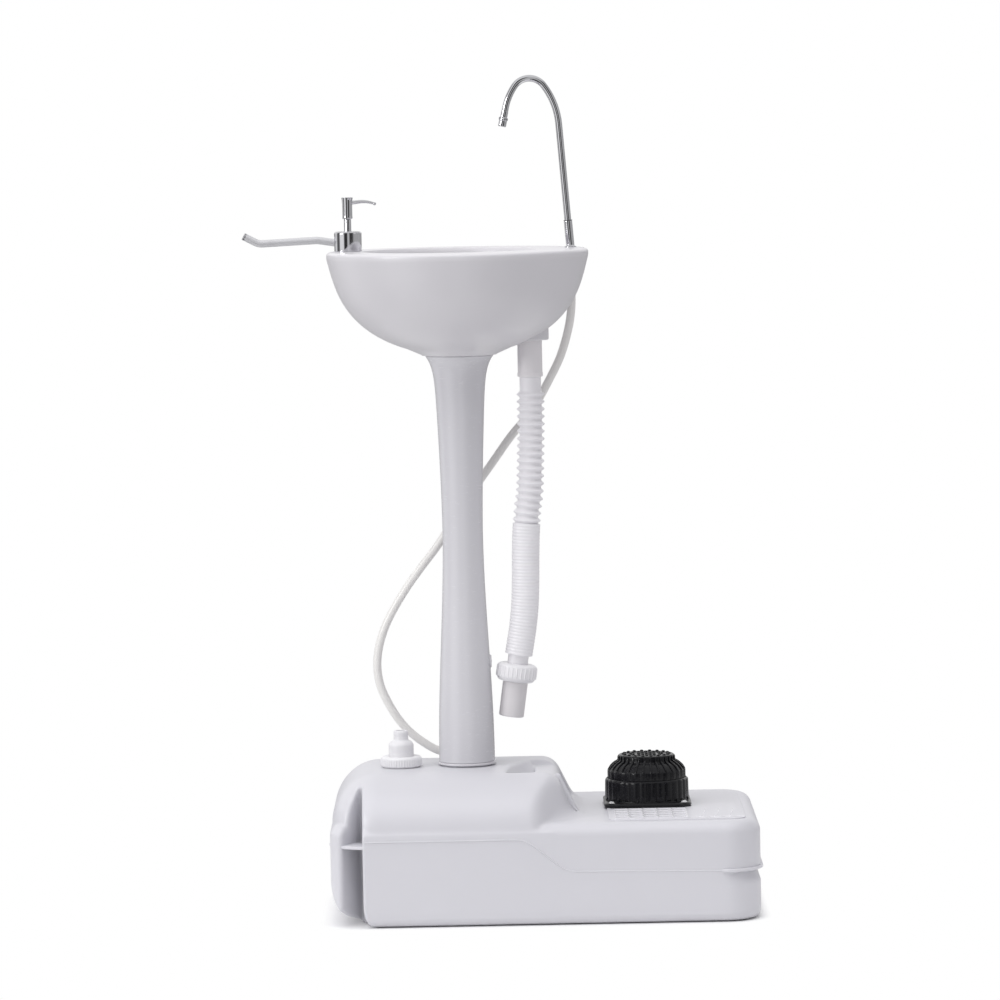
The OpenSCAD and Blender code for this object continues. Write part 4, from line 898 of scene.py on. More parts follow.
bm = bmesh.new()
fin_outer, fin_inner = [
    [(208, -y)] + corner(corner_x, -corner_y, radius, -90, 0)
    + corner(corner_x, corner_y, radius, 0, 90) + [(208, y)]
    for radius, y in ((45, 156), (38, 151))]
strip(bm, fin_outer, fin_inner, fin_low, fin_high)
web_edge = ((-242, 139), (-236, 143.5), (-228, 148.5), (-220, 152.5), (-212, 154.6))
web_root, web_low, web_high = 112, 94, 97.5
for side in (-1, 1):
    web_outer, web_inner = [[(x, side * y) for x, y in edge] for edge in (
        web_edge, [(x, web_root) for x, _ in web_edge])]
    strip(bm, web_outer, web_inner, web_low, web_high)
build("tank_fins", bm, tank_plastic)


def rounded_plan(cx, cy, long, wide, radius, z, steps=8):
    """a rounded rectangle, as a ring of points"""
    hx, hy = long / 2 - radius, wide / 2 - radius
    ring = []
    for sx, sy, start in ((1, 1, 0), (-1, 1, 90), (-1, -1, 180), (1, -1, 270)):
        ring += corner(cx + sx * hx, cy + sy * hy, radius, start, start + 90, steps)
    return [Vector((x, y, z)) for x, y in ring]


tread_z = 121.5
tread_x, tread_y = 157, -12
tread_long, tread_wide, tread_corner = 162, 246, 16
tread_pad = skinned("tread_pad", [
    rounded_plan(tread_x, tread_y, tread_long - 2 * inset, tread_wide - 2 * inset,
                 tread_corner - inset, z)
    for inset, z in ((0, 117), (0, 120.7), (0.4, 121.25), (1.2, tread_z))], tank_plastic)


def cell_tree():
    """copies of a shape on a square grid of points"""
    tree, given = shaping_tree("tread_cells", [
        ("Columns", "Int", 5), ("Rows", "Int", 4), ("Column Pitch", "Float", 0.0173),
        ("Row Pitch", "Float", 0.022)])
    sizes = [number(tree, "MULTIPLY", number(tree, "SUBTRACT", given[count], 1.0), given[pitch])
             for count, pitch in (("Columns", "Column Pitch"), ("Rows", "Row Pitch"))]
    spots = add(tree, "GeometryNodeMeshGrid", Size_X=sizes[0], Size_Y=sizes[1],
                Vertices_X=given["Columns"], Vertices_Y=given["Rows"])
    copies = add(tree, "GeometryNodeInstanceOnPoints", Points=spots.outputs[0],
                 Instance=given["Geometry"])
    return finish_tree(tree, given, copies.outputs[0])


# A lighter copy of the tank's plastic for the grid, scallops and ribs: the extra lightness is a
# painted highlight for the glint on the bars, and its high edge setting paints shade into the
# cells.
tread_plastic_painted_light = plastic("tread_plastic_painted_light", (0.75, 0.745, 0.775), 0.30, grain=650, depth=0.04,
                        edge=1.6)
cell_long, cell_wide = 17.3, 21
cell_columns, cell_rows = 5, 4
bm = bmesh.new()
skin_rings(bm, [
    rounded_plan(0, 0, cell_long - 2 * bar_x, cell_wide - 2 * bar_y, ease, z, steps=3)
    for bar_x, bar_y, ease, z in (
        (0, 0, 0.6, -0.5), (0, 0, 0.6, 1.6), (0.3, 0.3, 0.6, 1.75), (1.5, 4.4, 0.8, 1.75),
        (1.8, 4.9, 0.8, 1.4), (2.0, 5.1, 0.8, 0.2), (2.0, 5.1, 0.8, -0.5))], closed=True)
grid_x, grid_y = 83.2, -131
grid_middle = Vector((grid_x + cell_long * cell_columns / 2,
                      grid_y + cell_wide * cell_rows / 2, tread_z))
tread_grid = run_tree("tread_grid", loose_mesh("tread_cell", bm), cell_tree(), {
    "Columns": cell_columns, "Rows": cell_rows, "Column Pitch": cell_long * MM,
    "Row Pitch": cell_wide * MM}, tread_plastic_painted_light, shift(*grid_middle * MM))

scallop_line = [(172 + 66 * i / 60, -126 + 4.5 * abs(math.sin(math.pi * i / 15)), tread_z)
                for i in range(61)]
bead("tread_scallops", scallop_line, 0.8, tread_plastic_painted_light)
for n, x in enumerate((188.5, 205, 221.5)):
    arc = [(x + 7 * math.sin(math.radians(9 * i)) - 3.5, -121 + 7 * i, tread_z - 0.1)
           for i in range(11)]
    bead("tread_rib_%d" % n, arc, 0.55, tread_plastic_painted_light)

cap_place = shift(-170, -10, 174)
filler_neck = lathe("filler_neck", [
    (14.3, -4), (17.2, -4), (17.2, 1.5), (18.0, 2.6), (17.2, 3.7), (17.2, 5), (18.0, 6.1),
    (17.2, 7.2), (17, 8.5), (14.3, 8.5)], tank_plastic, cap_place, count=72, ease=0.4)


# ---- Column ring and column ---------------------------------------------------------
# A flat moulded ring round the socket in the tank's top, and the blow-moulded column
# that stands in it: waisted, flared at its top, with a fine seam down each side.

column_plastic = plastic("column_plastic", (0.63, 0.625, 0.65), 0.24, grain=700, scuffs=0.06)
column_low, column_high, waist_height = 178.5, 668, 282
waist_radius, column_bore = 24, 20.4
foot_flare, taper, top_flare = 9.2, 7.5, 10
column_place = shift(column_x, 0, 0)
column_ring = lathe("column_ring_piece", [
    (27.2, 174.1), (30.6, 174.1, 0.2), (30.6, 175.7, 0.2), (34.7, 175.9, 0.5), (34.7, 178.5, 1.2),
    (27.2, 178.5)], column_plastic, column_place, count=120, ease=0.5)
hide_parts("column_ring")


def column_radius(h):
    """radius of the column at a height above its lower end"""
    below = max(0, (waist_height - h) / waist_height)
    above = max(0, (h - waist_height) / (column_high - column_low - waist_height))
    return (waist_radius + foot_flare * math.sin(math.pi / 2 * below) ** 2
            + taper * above ** 1.5 + top_flare * above ** 16)


def seam(a, r, z):
    """the mould's seam, down the column's left and right sides"""
    near = min(abs(math.remainder(a, math.pi)), 1) * r
    return 0.28 * math.exp(-(near / 0.9) ** 2)


heights = [0.2, 0.8, 2] + [6 + 5 * i for i in range(84)] + [430 + 2.5 * i for i in range(23)]
side = [(column_radius(h), column_low + h) for h in heights + [488.3, 489.2]]
side[0] = (side[0][0] - 0.7, side[0][1])
side[-1] = (side[-1][0] - 1.2, side[-1][1])
column = lathe("column_piece", [(column_bore, column_low + 0.2)] + side
               + [(column_bore, column_high - 0.3)], column_plastic, column_place, count=200,
               swell=seam)
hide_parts("column")


# ---- Column button --------------------------------------------------------------------
# The round cover plug on the column's right side, of the same moulded plastic, pressed
# into a hole in the wall.

column_button = lathe("column_button_piece", [
    (0, 0), (7.6, 0), (8, 0.6), (8, 2.6, 0.9), (6.2, 3.3, 0.6), (5.4, 3.0, 0.4), (0, 3.5)],
    column_plastic, shift(column_x + 28.4, 0, 298.5) @ lean(90), count=64, ease=0.3)
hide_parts("column_button")


# ---- Basin shell ------------------------------------------------------------------------
# The satin, vacuum-formed outer shell of the basin: a round bowl form that draws in to
# a short neck, whose spigot stands in the column's open top.

basin_plastic = plastic("basin_plastic", (0.655, 0.645, 0.665), 0.30, grain=800)
deck_height, rim_radius, basin_deep, rim_round = 793, 156.6, 125, 4


def basin_radius(d):
    """outer radius of the basin at a depth below its rim"""
    h = max(0, d - 8)
    return (rim_radius - 0.25 * h) * math.sqrt(max(0, 1 - (h / (basin_deep - 7)) ** 3.3))


outer = [(45, column_high), (45.6, column_high + 0.7)]
outer += [(basin_radius(d), deck_height - d) for d in np.arange(basin_deep * 0.935, 5, -2.2)]
outer += [(rim_radius - rim_round + rim_round * math.cos(a),
           deck_height - rim_round + rim_round * math.sin(a))
          for a in np.radians(np.arange(0, 91, 11.25))]
lip = [(151.6, deck_height), (151.6, deck_height - 3), (148, deck_height - 3.4)]
inner = [(basin_radius(d) - 3, deck_height - d) for d in range(10, 110, 6)]
inner += [(60, 679), (18, 670.6), (16.2, 670.2)]
spigot = [(16.2, 628.4), (19.6, 628.2), (20, 629), (20, column_high)]
basin_shell = lathe("basin_shell_piece", outer + lip + inner + spigot, basin_plastic,
                    column_place, count=160)
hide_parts("basin_shell")


# ---- Basin bowl and deck ------------------------------------------------------------------
# The inner moulding, let into the shell's rim: a flat deck that carries the spout, soap
# pump and towel arm, and the round bowl, set a little off centre, with its drain hole.

off_centre = 9
floor_radius, floor_height = 70, 712
turn_wide, turn_high = 30, 36.45


def turn_up(degrees, out=0, down=0):
    """where the floor turns up into the wall, on the top face or a wall's thickness below it"""
    return [(0, floor_radius + (turn_wide + out) * math.sin(a),
             floor_height + turn_high * (1 - math.cos(a)) - down * math.cos(a))
            for a in np.radians(degrees)]


bowl_rows = [(1, 151.3, -3.1), (1, 151.3, -0.6), (1, 150.8, -0.1), (0.9, 148.5, 0), (0.5, 130, 0),
             (0.1, 111.5, 0), (0, 108.4, 0.1), (0, 107, 0.3), (0, 105.8, 0), (0, 105, -1.1),
             (0, 104.2, -3.2), (0, 103.4, -6.5)]
bowl_rows = [(share, r, deck_height + above) for share, r, above in bowl_rows]
wall_radius, wall_low = 100, 748
bowl_rows += [(0, wall_radius + 3.4 * (z - wall_low) / 38.5, z) for z in range(782, wall_low, -5)]
bowl_rows += turn_up(np.arange(90, -1, -6)) + [(0, 52, 711.95), (0, 30, 711.9), (0, 12, 711.9)]
under_rows = [(0, 12, 708.8), (0, 30, 708.8), (0, 68, 708.8)]
under_rows += turn_up(np.arange(10, 91, 10), out=3, down=3.1)
under_rows += [(0, 106.4, 780), (0, 108.2, 789.8), (0.5, 130, 789.9)]


def bowl_ring(share, r, z):
    """a ring of the bowl: share 1 is centred on the basin and 0 on the bowl"""
    centre = column_x - off_centre + off_centre * share
    return [Vector((centre + r * math.cos(a), r * math.sin(a), z)) for a in circle(128)]


basin_bowl = skinned("basin_bowl_piece", [
    bowl_ring(*row) for row in bowl_rows[::-1] + under_rows[::-1]], basin_plastic, poles=True)
drain_hole = bmesh.new()
turned(drain_hole, [(0, 700), (14.3, 700), (14.3, 711), (15.6, 712.2), (15.6, 720), (0, 720)], 64,
       shift(column_x + 42, 0, 0))
drain_hole = placed("drain_hole", loose_mesh("drain_hole", drain_hole))
modifier = basin_bowl.modifiers.new("drain_hole", "BOOLEAN")
modifier.operation = "DIFFERENCE"
modifier.solver = "EXACT"
modifier.object = drain_hole
applied(basin_bowl, modifier)
bpy.data.objects.remove(drain_hole)
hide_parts("basin_bowl")


# ---- Strainer and sump ----------------------------------------------------------------------
# The pressed steel strainer in the bowl's floor, and the flat moulded channel under the
# bowl that leads its water to the drain. Both keep their CAD shapes.

def metal_surface():
    """the look of metal: faint rolled streaks, smudges and water marks in its gloss"""
    group, given = new_tree("metal_surface", "ShaderNodeTree", [
        ("Colour", "Color", (0.8, 0.8, 0.8, 1)), ("Roughness", "Float", 0.1),
        ("Streaks", "Float", 0.05), ("Smudges", "Float", 0.08)], surface_sockets)
    where = add(group, "ShaderNodeTexCoord").outputs["Object"]
    stretch = add(group, "ShaderNodeMapping", Vector=where, Scale=(900.0, 900.0, 60.0))
    streak = noise(group, stretch.outputs[0], 1.0, 2.0)
    spots = ramp(group, noise(group, where, 55.0, 3.0, 0.6), 0.5, 0.75)
    rough = number(group, "MULTIPLY_ADD", streak, given["Streaks"], given["Roughness"])
    rough = number(group, "MULTIPLY_ADD", spots, given["Smudges"], rough, use_clamp=True)
    bright = number(group, "MULTIPLY_ADD", spots, -0.06, 1.0)
    paint = add(group, "ShaderNodeVectorMath", operation="SCALE", _0=given["Colour"], Scale=bright)
    bump = add(group, "ShaderNodeBump", Strength=0.03, Distance=0.0002, Height=streak)
    add(group, "NodeGroupOutput", Colour=paint.outputs[0], Roughness=rough, Normal=bump.outputs[0])
    return group


metalled = metal_surface()


def metal(name, colour, roughness, streaks, smudges, metallic=1.0):
    """a metal finish with streaks and smudges"""
    material, shader = surfaced(name, metalled, colour, Roughness=roughness, Streaks=streaks,
                                Smudges=smudges)
    shader["Metallic"].default_value = metallic
    return material


def dress(material, *nodes):
    """gives the own meshes of CAD nodes a material in every slot"""
    for node in nodes:
        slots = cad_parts[node].data.materials
        if not slots:
            slots.append(material)
        for i in range(len(slots)):
            slots[i] = material


steel = metal("steel", (0.62, 0.62, 0.61), 0.26, streaks=0.12, smudges=0.10)
dress(steel, "drain_strainer")
dress(fitting_plastic, "drain_sump")


# ---- Drain collar and tailpiece -----------------------------------------------------------
# The round boss where the drain leaves the shell, and the plain pipe below it, with the
# small lip that the ribbed hose's cuff is pushed under.

# The tailpiece's plastic is painted lighter than the outlet's to cancel the shade that the basin
# casts on it: painted light.
tailpiece_plastic_painted_light = plastic("tailpiece_plastic_painted_light", (0.79, 0.77, 0.78), 0.36, cloud=0.03, grain=700,
                            depth=0.03, scuffs=0.06)
drain_axis = shift(column_x + 84.5, 0, 0)
collar = lathe("drain_collar_piece", [
    (0, 684), (22.2, 684, 0.6), (23, 685.2, 1), (23, 701), (0, 701)], basin_plastic, drain_axis,
    ease=0.5)
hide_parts("drain_collar")
tailpiece = lathe("drain_tailpiece_piece", [
    (0, 688), (14.7, 688), (14.8, 645.5), (15.2, 644.8, 0.4), (15.2, 640.9, 0.5), (14.4, 640, 0.3),
    (12.7, 640, 0.3), (12.6, 641.5), (0, 641.5)], tailpiece_plastic_painted_light, drain_axis, ease=0.4)
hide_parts("drain_tailpiece")


# ---- Supply elbow on the tank -------------------------------------------------------------
# The moulded elbow behind the column's foot that the supply hose is pushed on: a hex nut
# on a rubber washer, a short stem, and a barb along the hose.

rubber = plastic("seal_rubber", (0.035, 0.035, 0.038), 0.62, cloud=0.15, grain=600, depth=0.2,
                 scuffs=0.12)
elbow_y = 52
elbow_place = shift(column_x + 12, elbow_y, 174)
arm_place = shift(column_x - 10, elbow_y, 182) @ lean(90)
bm = bmesh.new()
turned(bm, [(0, -13.8), (5.9, -13.8), (6, 1), (6, 5.4), (5.4, 9.6), (4.6, 12.4), (2.6, 13.9),
            (0, 14)], 48, elbow_place)
turned(bm, eased([(0, 0.2), (4.4, 0.2), (4.9, 1.6), (4.9, 10.5), (4.9, 14), (4.9, 22.6),
                  (3.6, 25.4), (0, 26)], 0.5), 48, arm_place)
turned(bm, eased([(0, 9.6), (5.6, 9.6), (6.4, 10.6), (6.4, 13.4), (5.6, 14.4), (0, 14.4)], 0.5),
       48, arm_place)
hexagon = [Vector((math.cos(a), math.sin(a), 0)) for a in circle(6)]
skin_rings(bm, [[elbow_place @ (p * r + Vector((0, 0, z))) for p in hexagon]
                for r, z in ((10.2, 1.0), (10.9, 1.3), (10.9, 2.3), (10.2, 2.6))])
barb = build("tank_barb_piece", bm, fitting_plastic, soft_angle=28)
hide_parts("tank_barb")
dress(rubber, "tank_barb_washer")
dress(fitting_plastic, "outlet_pipe")


# ---- Spout, sleeve and aerator ------------------------------------------------------------
# The chromed gooseneck: an 8 mm brass tube that leans out over its leg and turns in a
# sleeve on the deck, with a small aerator at its tip and a nut and seal that hold it.

chrome = metal("chrome_plate", (0.66, 0.66, 0.685), 0.07, streaks=0.02, smudges=0.05)
brass = metal("brass_nut", (0.72, 0.60, 0.36), 0.24, streaks=0.1, smudges=0.1)
tube_radius, tube_bore, leg_top = 4.09, 3.3, 149
sleeve_place = shift(45, 35, deck_height)
spout_place = sleeve_place @ lean(-4.4)


def bent_line(moves, start, angle, step=3.0):
    """points of a bent rod in XZ; angle runs from +Z to -X, a move is a length or (radius, turn)"""
    points = [Vector(start)]
    for move in moves:
        if isinstance(move, (int, float)):
            points.append(points[-1] + move * Vector((-math.sin(angle), 0, math.cos(angle))))
            continue
        radius, turn = move[0], math.radians(move[1])
        sign = 1 if turn > 0 else -1
        centre = points[-1] - sign * radius * Vector((math.cos(angle), 0, math.sin(angle)))
        count = max(2, math.ceil(abs(turn) / math.radians(step)))
        for k in range(1, count + 1):
            b = angle + turn * k / count
            points.append(centre + sign * radius * Vector((math.cos(b), 0, math.sin(b))))
        angle += turn
    return points, angle


def at_end(line, angle):
    """a place at the end of a bent rod, whose Z axis runs on along it"""
    return Matrix.Translation(line[-1]) @ Matrix.Rotation(-angle, 4, "Y")


def swept_rings(points, radius, count, place=Matrix()):
    """rings round a line of points; radius is a number or a function of the share run"""
    rings = []
    for i, p in enumerate(points):
        along = (points[min(i + 1, len(points) - 1)] - points[max(i - 1, 0)]).normalized()
        r = radius(i / (len(points) - 1)) if callable(radius) else radius
        rings.append([place @ v for v in ring_round(p, along, r, count)])
    return rings


neck_line, neck_angle = bent_line(
    [(87.7, 32.8), (21.5, 107.8), (70, 23), 4], (0, 0, leg_top), 0, 4.0)
spout_line = [Vector((0, 0, z)) for z in (5.1, 40, 90, 140)] + neck_line
tube_wall = swept_rings(spout_line, tube_radius, 32, spout_place)
tube_wall += swept_rings(spout_line[::-1], tube_bore, 32, spout_place)
spout = skinned("spout_piece", tube_wall, chrome, soft_angle=50, body="spout", closed=True)
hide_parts("spout")

tip_place = spout_place @ at_end(neck_line, neck_angle)
tip = lathe("aerator_body", [
    (tube_bore, 0), (4.3, 0), (4.35, 7.4), (5.1, 8.0, 0.5), (5.2, 11.2, 0.6), (4.75, 12, 0.3),
    (4.9, 13), (4.9, 17.8, 0.7), (4.5, 19, 0.3), (4.2, 19, 0.3), (4.2, 16.2), (tube_bore, 16)],
    chrome, tip_place, count=64, ease=0.4, body="spout")
knurl = ridge(0.05, 0.55, 0.42, 8, ((0.5, 8.2), (1, 8.7), (1, 10.6), (0.5, 11.1)))
knurls = copies_round("aerator_knurls", knurl, 24, 4.95, chrome, tip_place, first_turn=0.1,
                      body="spout")
screen = lathe("aerator_screen", [(0, 15.8), (4.3, 15.8), (4.3, 16.8), (3.6, 17.3), (0, 17.3)],
               steel, tip_place, count=48, body="spout")
aerator = join("aerator_piece", [tip, knurls, screen], "spout")
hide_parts("aerator")


def threads(radius, depth, start, pitch, count):
    """the zigzag side of a threaded rod, half a turn at a time"""
    return [(radius - depth * (i % 2), start + pitch * i) for i in range(count)]


bm = bmesh.new()
turned(bm, eased([(4.25, 5), (4.25, 31.2), (4.6, 32, 0.2), (4.8, 32, 0.4), (5.0, 31.2, 0.4),
                  (5.0, 3.2, 1.2), (5.0, 0.5), (4.25, 0.5)], 0.3), 64, spout_place)
turned(bm, eased([(0, 0.02), (7.0, 0.02, 0.3), (7.1, 0.9, 0.5), (6.5, 1.5, 0.5), (5.6, 1.9, 0.6),
                  (4.9, 3), (0, 3)], 0.4), 64, sleeve_place)
turned(bm, [(0, -31), (4.4, -31), (5, -29.6)] + threads(5, 0.5, -28, 0.75, 36)
       + [(5, 0.5), (0, 0.5)], 40, sleeve_place)
sleeve = build("spout_sleeve_piece", bm, chrome)
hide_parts("spout_sleeve")
dress(rubber, "spout_seal")
dress(brass, "spout_nut")


# ---- Soap pump ----------------------------------------------------------------------------
# A chromed collar on the deck, the stem that goes down in it against a hidden spring, and
# the flared head with its thin arched nozzle. The bottle hangs under the deck.

bottle_plastic = plastic("bottle_plastic", (0.80, 0.79, 0.76), 0.3, cloud=0.06, grain=400,
                         depth=0.08, scuffs=0.06, glow_depth=0.2)
soap_place = shift(-222, 25, deck_height)
head_place = soap_place @ shift(0, 0, 39)
soap_collar = lathe("soap_collar_piece", [
    (4.55, 0.02), (16.1, 0.02, 0.4), (16.5, 0.6, 0.3), (16.5, 21.6, 0.5), (16.2, 23.1, 0.7),
    (15.1, 24, 0.7), (6.6, 24, 0.4), (6.2, 24.6, 0.3), (4.9, 24.6, 0.3), (4.55, 24)],
    chrome, soap_place, ease=0.4)
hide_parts("soap_collar")
soap_stem = lathe("soap_stem_piece", [
    (0, -8), (4.8, -8), (4.8, -3.2), (4.35, -2.8), (4.35, 38.6, 0.4), (2.5, 39), (2.5, 46.8),
    (0, 47)], chrome, soap_place, count=48, ease=0.3, body="soap_stem")
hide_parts("soap_stem")

soap_body = lathe("soap_head_body", [
    (2.65, 0), (5.4, 0, 0.3), (6.0, 0.6, 0.3), (6.15, 2.2, 0.4), (6.0, 3.6, 0.6), (6.0, 14, 2.5),
    (6.1, 19, 2), (6.4, 23, 1.5), (6.95, 25.6, 0.3), (6.6, 26, 0.2), (5.8, 25.4, 0.5),
    (3.2, 23.4, 1), (0, 23.0), (0, 9), (2.65, 9)],
    chrome, head_place, count=64, ease=0.3, body="soap_head")
nozzle_line, nozzle_angle = bent_line([14.0, (39.6, -28)], (0, 0, 19), math.radians(-84), 2.5)
ball_place = head_place @ at_end(nozzle_line, nozzle_angle)
nozzle_line[:1] = [nozzle_line[0].lerp(nozzle_line[1], k / 5) for k in range(5)]
ball_radius = 1.95
ball = [(ball_radius * math.sin(a), -ball_radius * math.cos(a))
        for a in np.radians(np.linspace(0, 150, 13))]
nozzle_thick, nozzle_taper = 2.6, 1.1
bm = bmesh.new()
skin_rings(bm, swept_rings(nozzle_line, lambda s: nozzle_thick - nozzle_taper * s ** 0.8, 24,
                           head_place))
turned(bm, ball + [(0.7, 1.6), (0.7, 0.8), (0, 0.8)], 24, ball_place)
nozzle = build("soap_nozzle", bm, chrome, soft_angle=45, body="soap_head")
soap_head = join("soap_head_piece", [soap_body, nozzle], "soap_head")
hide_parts("soap_head")


def coil_spring(name, centre, radius, wire, low, high, turns):
    """a round-wire compression spring with one dead coil at each end, in mm"""
    dead, steps = 2.1 * wire, 24
    pitch = (high - low - 2 * dead) / (turns - 2)
    rings = []
    for turn in (i / steps for i in range(steps * turns + 1)):
        z = low + dead * min(turn, 1) + pitch * min(max(turn - 1, 0), turns - 2)
        z += dead * max(turn - turns + 1, 0)
        out = Vector((math.cos(2 * math.pi * turn), math.sin(2 * math.pi * turn), 0))
        rings.append([Vector((*centre, z)) + out * (radius + wire * math.cos(b))
                      + Vector((0, 0, wire * math.sin(b))) for b in circle(10)])
    return skinned(name, rings, steel, soft_angle=50)


dress(bottle_plastic, "soap_bottle")
dress(fitting_plastic, "soap_chamber", "soap_dip_tube")
spring = coil_spring("soap_spring_piece", (-222, 25), radius=4.1, wire=0.5, low=766.13,
                     high=784.37, turns=8)
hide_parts("soap_spring")
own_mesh(spring)


# ---- Towel arm ------------------------------------------------------------------------------
# One bent rod with a satin silver finish. It turns in a plastic bush in the deck, runs
# out over the tank's left end and is turned up a little at its end.

silver = metal("silver_tube", (0.58, 0.58, 0.595), 0.42, streaks=0.06, smudges=0.08, metallic=0.3)
arm_radius = 4.49
towel_place = shift(-217, 65, deck_height)
towel_line, towel_angle = bent_line(
    [(6, 81), 36, (22.5, 11.5), 64, (18, -30), 16], (0, 0, 1.2), 0, 5.0)
arm_line = [Vector((0, 0, z)) for z in (-24, -12, 0)] + towel_line
towel_arm = skinned("towel_arm_piece", swept_rings(arm_line, arm_radius, 32, towel_place), silver,
                    soft_angle=50, body="towel_arm")
arm_end = lathe("towel_arm_end", [
    (0, -3), (arm_radius, -3), (arm_radius, -0.9), (4.2, -0.25), (3.6, 0), (0, 0)], silver,
    towel_place @ at_end(towel_line, towel_angle), count=32, soft_angle=50, body="towel_arm")
towel_arm = join("towel_arm_rod", [towel_arm, arm_end], "towel_arm")
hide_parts("towel_arm")
dress(steel, "towel_nut")
towel_bush = lathe("towel_bush_piece", [
    (4.65, -3.2), (6.6, -3.2), (6.6, 0.02), (8.1, 0.02, 0.2), (8.0, 0.7, 0.4), (6.8, 0.8, 0.2),
    (4.65, 0.8)], fitting_plastic, towel_place, count=64, ease=0.2)
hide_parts("towel_bush")


# ---- Filler cap -------------------------------------------------------------------------------
# A fluted moulded ring screwed over the filler neck. It holds down a hose adaptor: a
# round boss with a plain nipple on it, sealed on a rubber gasket.

adaptor_plastic = plastic("adaptor_plastic", (0.77, 0.765, 0.78), 0.33, cloud=0.03, grain=800)
cap_body = lathe("cap_ring_body", [
    (18.35, 0.35), (22.4, 0.35, 0.3), (22.6, 1.5, 0.3), (24.2, 1.8, 0.4), (24.2, 10.6, 0.8),
    (22.6, 13.1, 1.2), (16.8, 13.3, 0.4), (15.35, 13.0, 0.3), (15.35, 11.4), (18.35, 11.4)],
    fitting_plastic, cap_place, count=120, ease=0.4, body="cap_ring")
flute = ridge(-0.4, 0.75, 0.85, 8, ((0.6, 2.0), (1, 2.6), (1, 9.0), (0.55, 10.6)))
cap_flutes = copies_round("cap_flutes", flute, 48, 24.5, fitting_plastic, cap_place,
                          body="cap_ring")
cap_ring = join("cap_ring_piece", [cap_body, cap_flutes], "cap_ring")
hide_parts("cap_ring")
cap_adaptor = lathe("cap_adaptor_piece", [
    (6.0, 9.7), (17.9, 9.7), (17.9, 11.3), (15, 11.4), (15, 18.4), (14.75, 18.7, 0.1),
    (15, 19, 0.1), (15, 26.6, 0.5), (14.2, 28.6, 1.5), (12.4, 31, 1.5), (10.4, 32, 1),
    (9.4, 32.4, 0.5), (8.75, 33.4, 0.4), (8.75, 36.4), (8.35, 36.8, 0.2), (8.35, 37.8, 0.2),
    (8.75, 38.2), (8.75, 42.4, 0.5), (7.9, 43.9, 0.5), (6.5, 44, 0.3), (6, 43.4)],
    adaptor_plastic, cap_place, ease=0.4, body="cap_adaptor")
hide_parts("cap_adaptor")
dress(rubber, "cap_gasket")


# ---- Foot pump --------------------------------------------------------------------------------
# A glossy black moulded pump screwed to the tread through a rubber gasket: a square base
# with cut corners, a fluted lower cylinder, and the ribbed dome that the foot presses,
# with rings of studs on its flat top.

pump_black = plastic("pump_black", (0.005, 0.005, 0.0065), 0.26, cloud=0.2, grain=1400, depth=0.04,
                     scuffs=0.10)
pump_black.node_tree.nodes["Principled BSDF"].inputs["Specular IOR Level"].default_value = 0.3
screw_steel = metal("screw_steel", (0.74, 0.74, 0.75), 0.14, streaks=0.08, smudges=0.05)
pump_x, pump_y = 125, 15
pump_place = shift(pump_x, pump_y, 0)
base_high, dome_top = 127, 181
corner_cut, corner_ease = 13, 6
flute_count = 30
gusset_ring, rib_ring, stud_spacing = 50, 38, 9.2
screw_ring = 42.5 * math.sqrt(2)


def waves(depth, fade_low, fade_high):
    """shallow round flutes that fade in above fade_low and out below fade_high"""
    def swell(a, r, z):
        near = min(1, max(0, (z - fade_low) / 1.5)) * min(1, max(0, (fade_high - z) / 1.5))
        return depth * abs(math.cos(a * flute_count / 2)) * near
    return swell


def cut_plan(h, z):
    """a square of half width h with cut corners, each corner of it eased a little"""
    c = h - corner_cut
    points = [Vector(p) for p in (
        (-h, -c), (-c, -h), (c, -h), (h, -c), (h, c), (c, h), (-c, h), (-h, c))]
    ring = []
    for i, b in enumerate(points):
        before, after = [b + (q - b).normalized() * corner_ease
                         for q in (points[i - 1], points[(i + 1) % 8])]
        for t in (0, 0.33, 0.67, 1):
            m = (1 - t) ** 2 * before + 2 * t * (1 - t) * b + t * t * after
            ring.append(Vector((pump_x + m.x, pump_y + m.y, z)))
    return ring


base = skinned("pump_base", [cut_plan(half, z) for half, z in (
    (51.6, 122.55), (52.2, 122.9), (52.5, 123.6), (52.5, 124.6), (51.9, 125.8),
    (50.4, base_high))], pump_black)
wall_foot = eased([(47.9, 126.5), (51.2, 126.5, 1.0), (50.2, 128.2, 1.2), (49.9, 129.5)])
wall = [(49.6, 135), (49.4, 146), (49.3, 149.6), (48.9, 151.6), (48.2, 152.7), (47.6, 153),
        (47.35, 152.8), (47.35, 150.6), (48, 150.4), (47.9, 127)]
cylinder = lathe("pump_cylinder", wall_foot + wall, pump_black, pump_place, count=360,
                 soft_angle=50, swell=waves(0.8, 128, 153))
underside = lathe("pump_underside", [
    (0, 100.2), (5, 100.2), (5, 108), (31.8, 108.1), (31.8, 123), (0, 123)], pump_black,
    pump_place, count=64)
bm = bmesh.new()
wall_x, root_x = 48.6 - gusset_ring, -0.4
skin_rings(bm, [[Vector((wall_x + x, y, z)) for x, y in (
    (root_x, -wide), (reach, -wide), (reach, wide), (root_x, wide))]
    for z, reach, wide in ((126.8, 3.2, 1.6), (129.5, 2.5, 1.4), (131.8, 1.2, 0.8))])
foot_ribs = copies_round("pump_foot_ribs", loose_mesh("gusset", bm), 12, gusset_ring, pump_black,
                         pump_place, first_turn=math.radians(15))
pump_body = join("pump_body_piece", [base, cylinder, underside, foot_ribs])
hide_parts("pump_body")

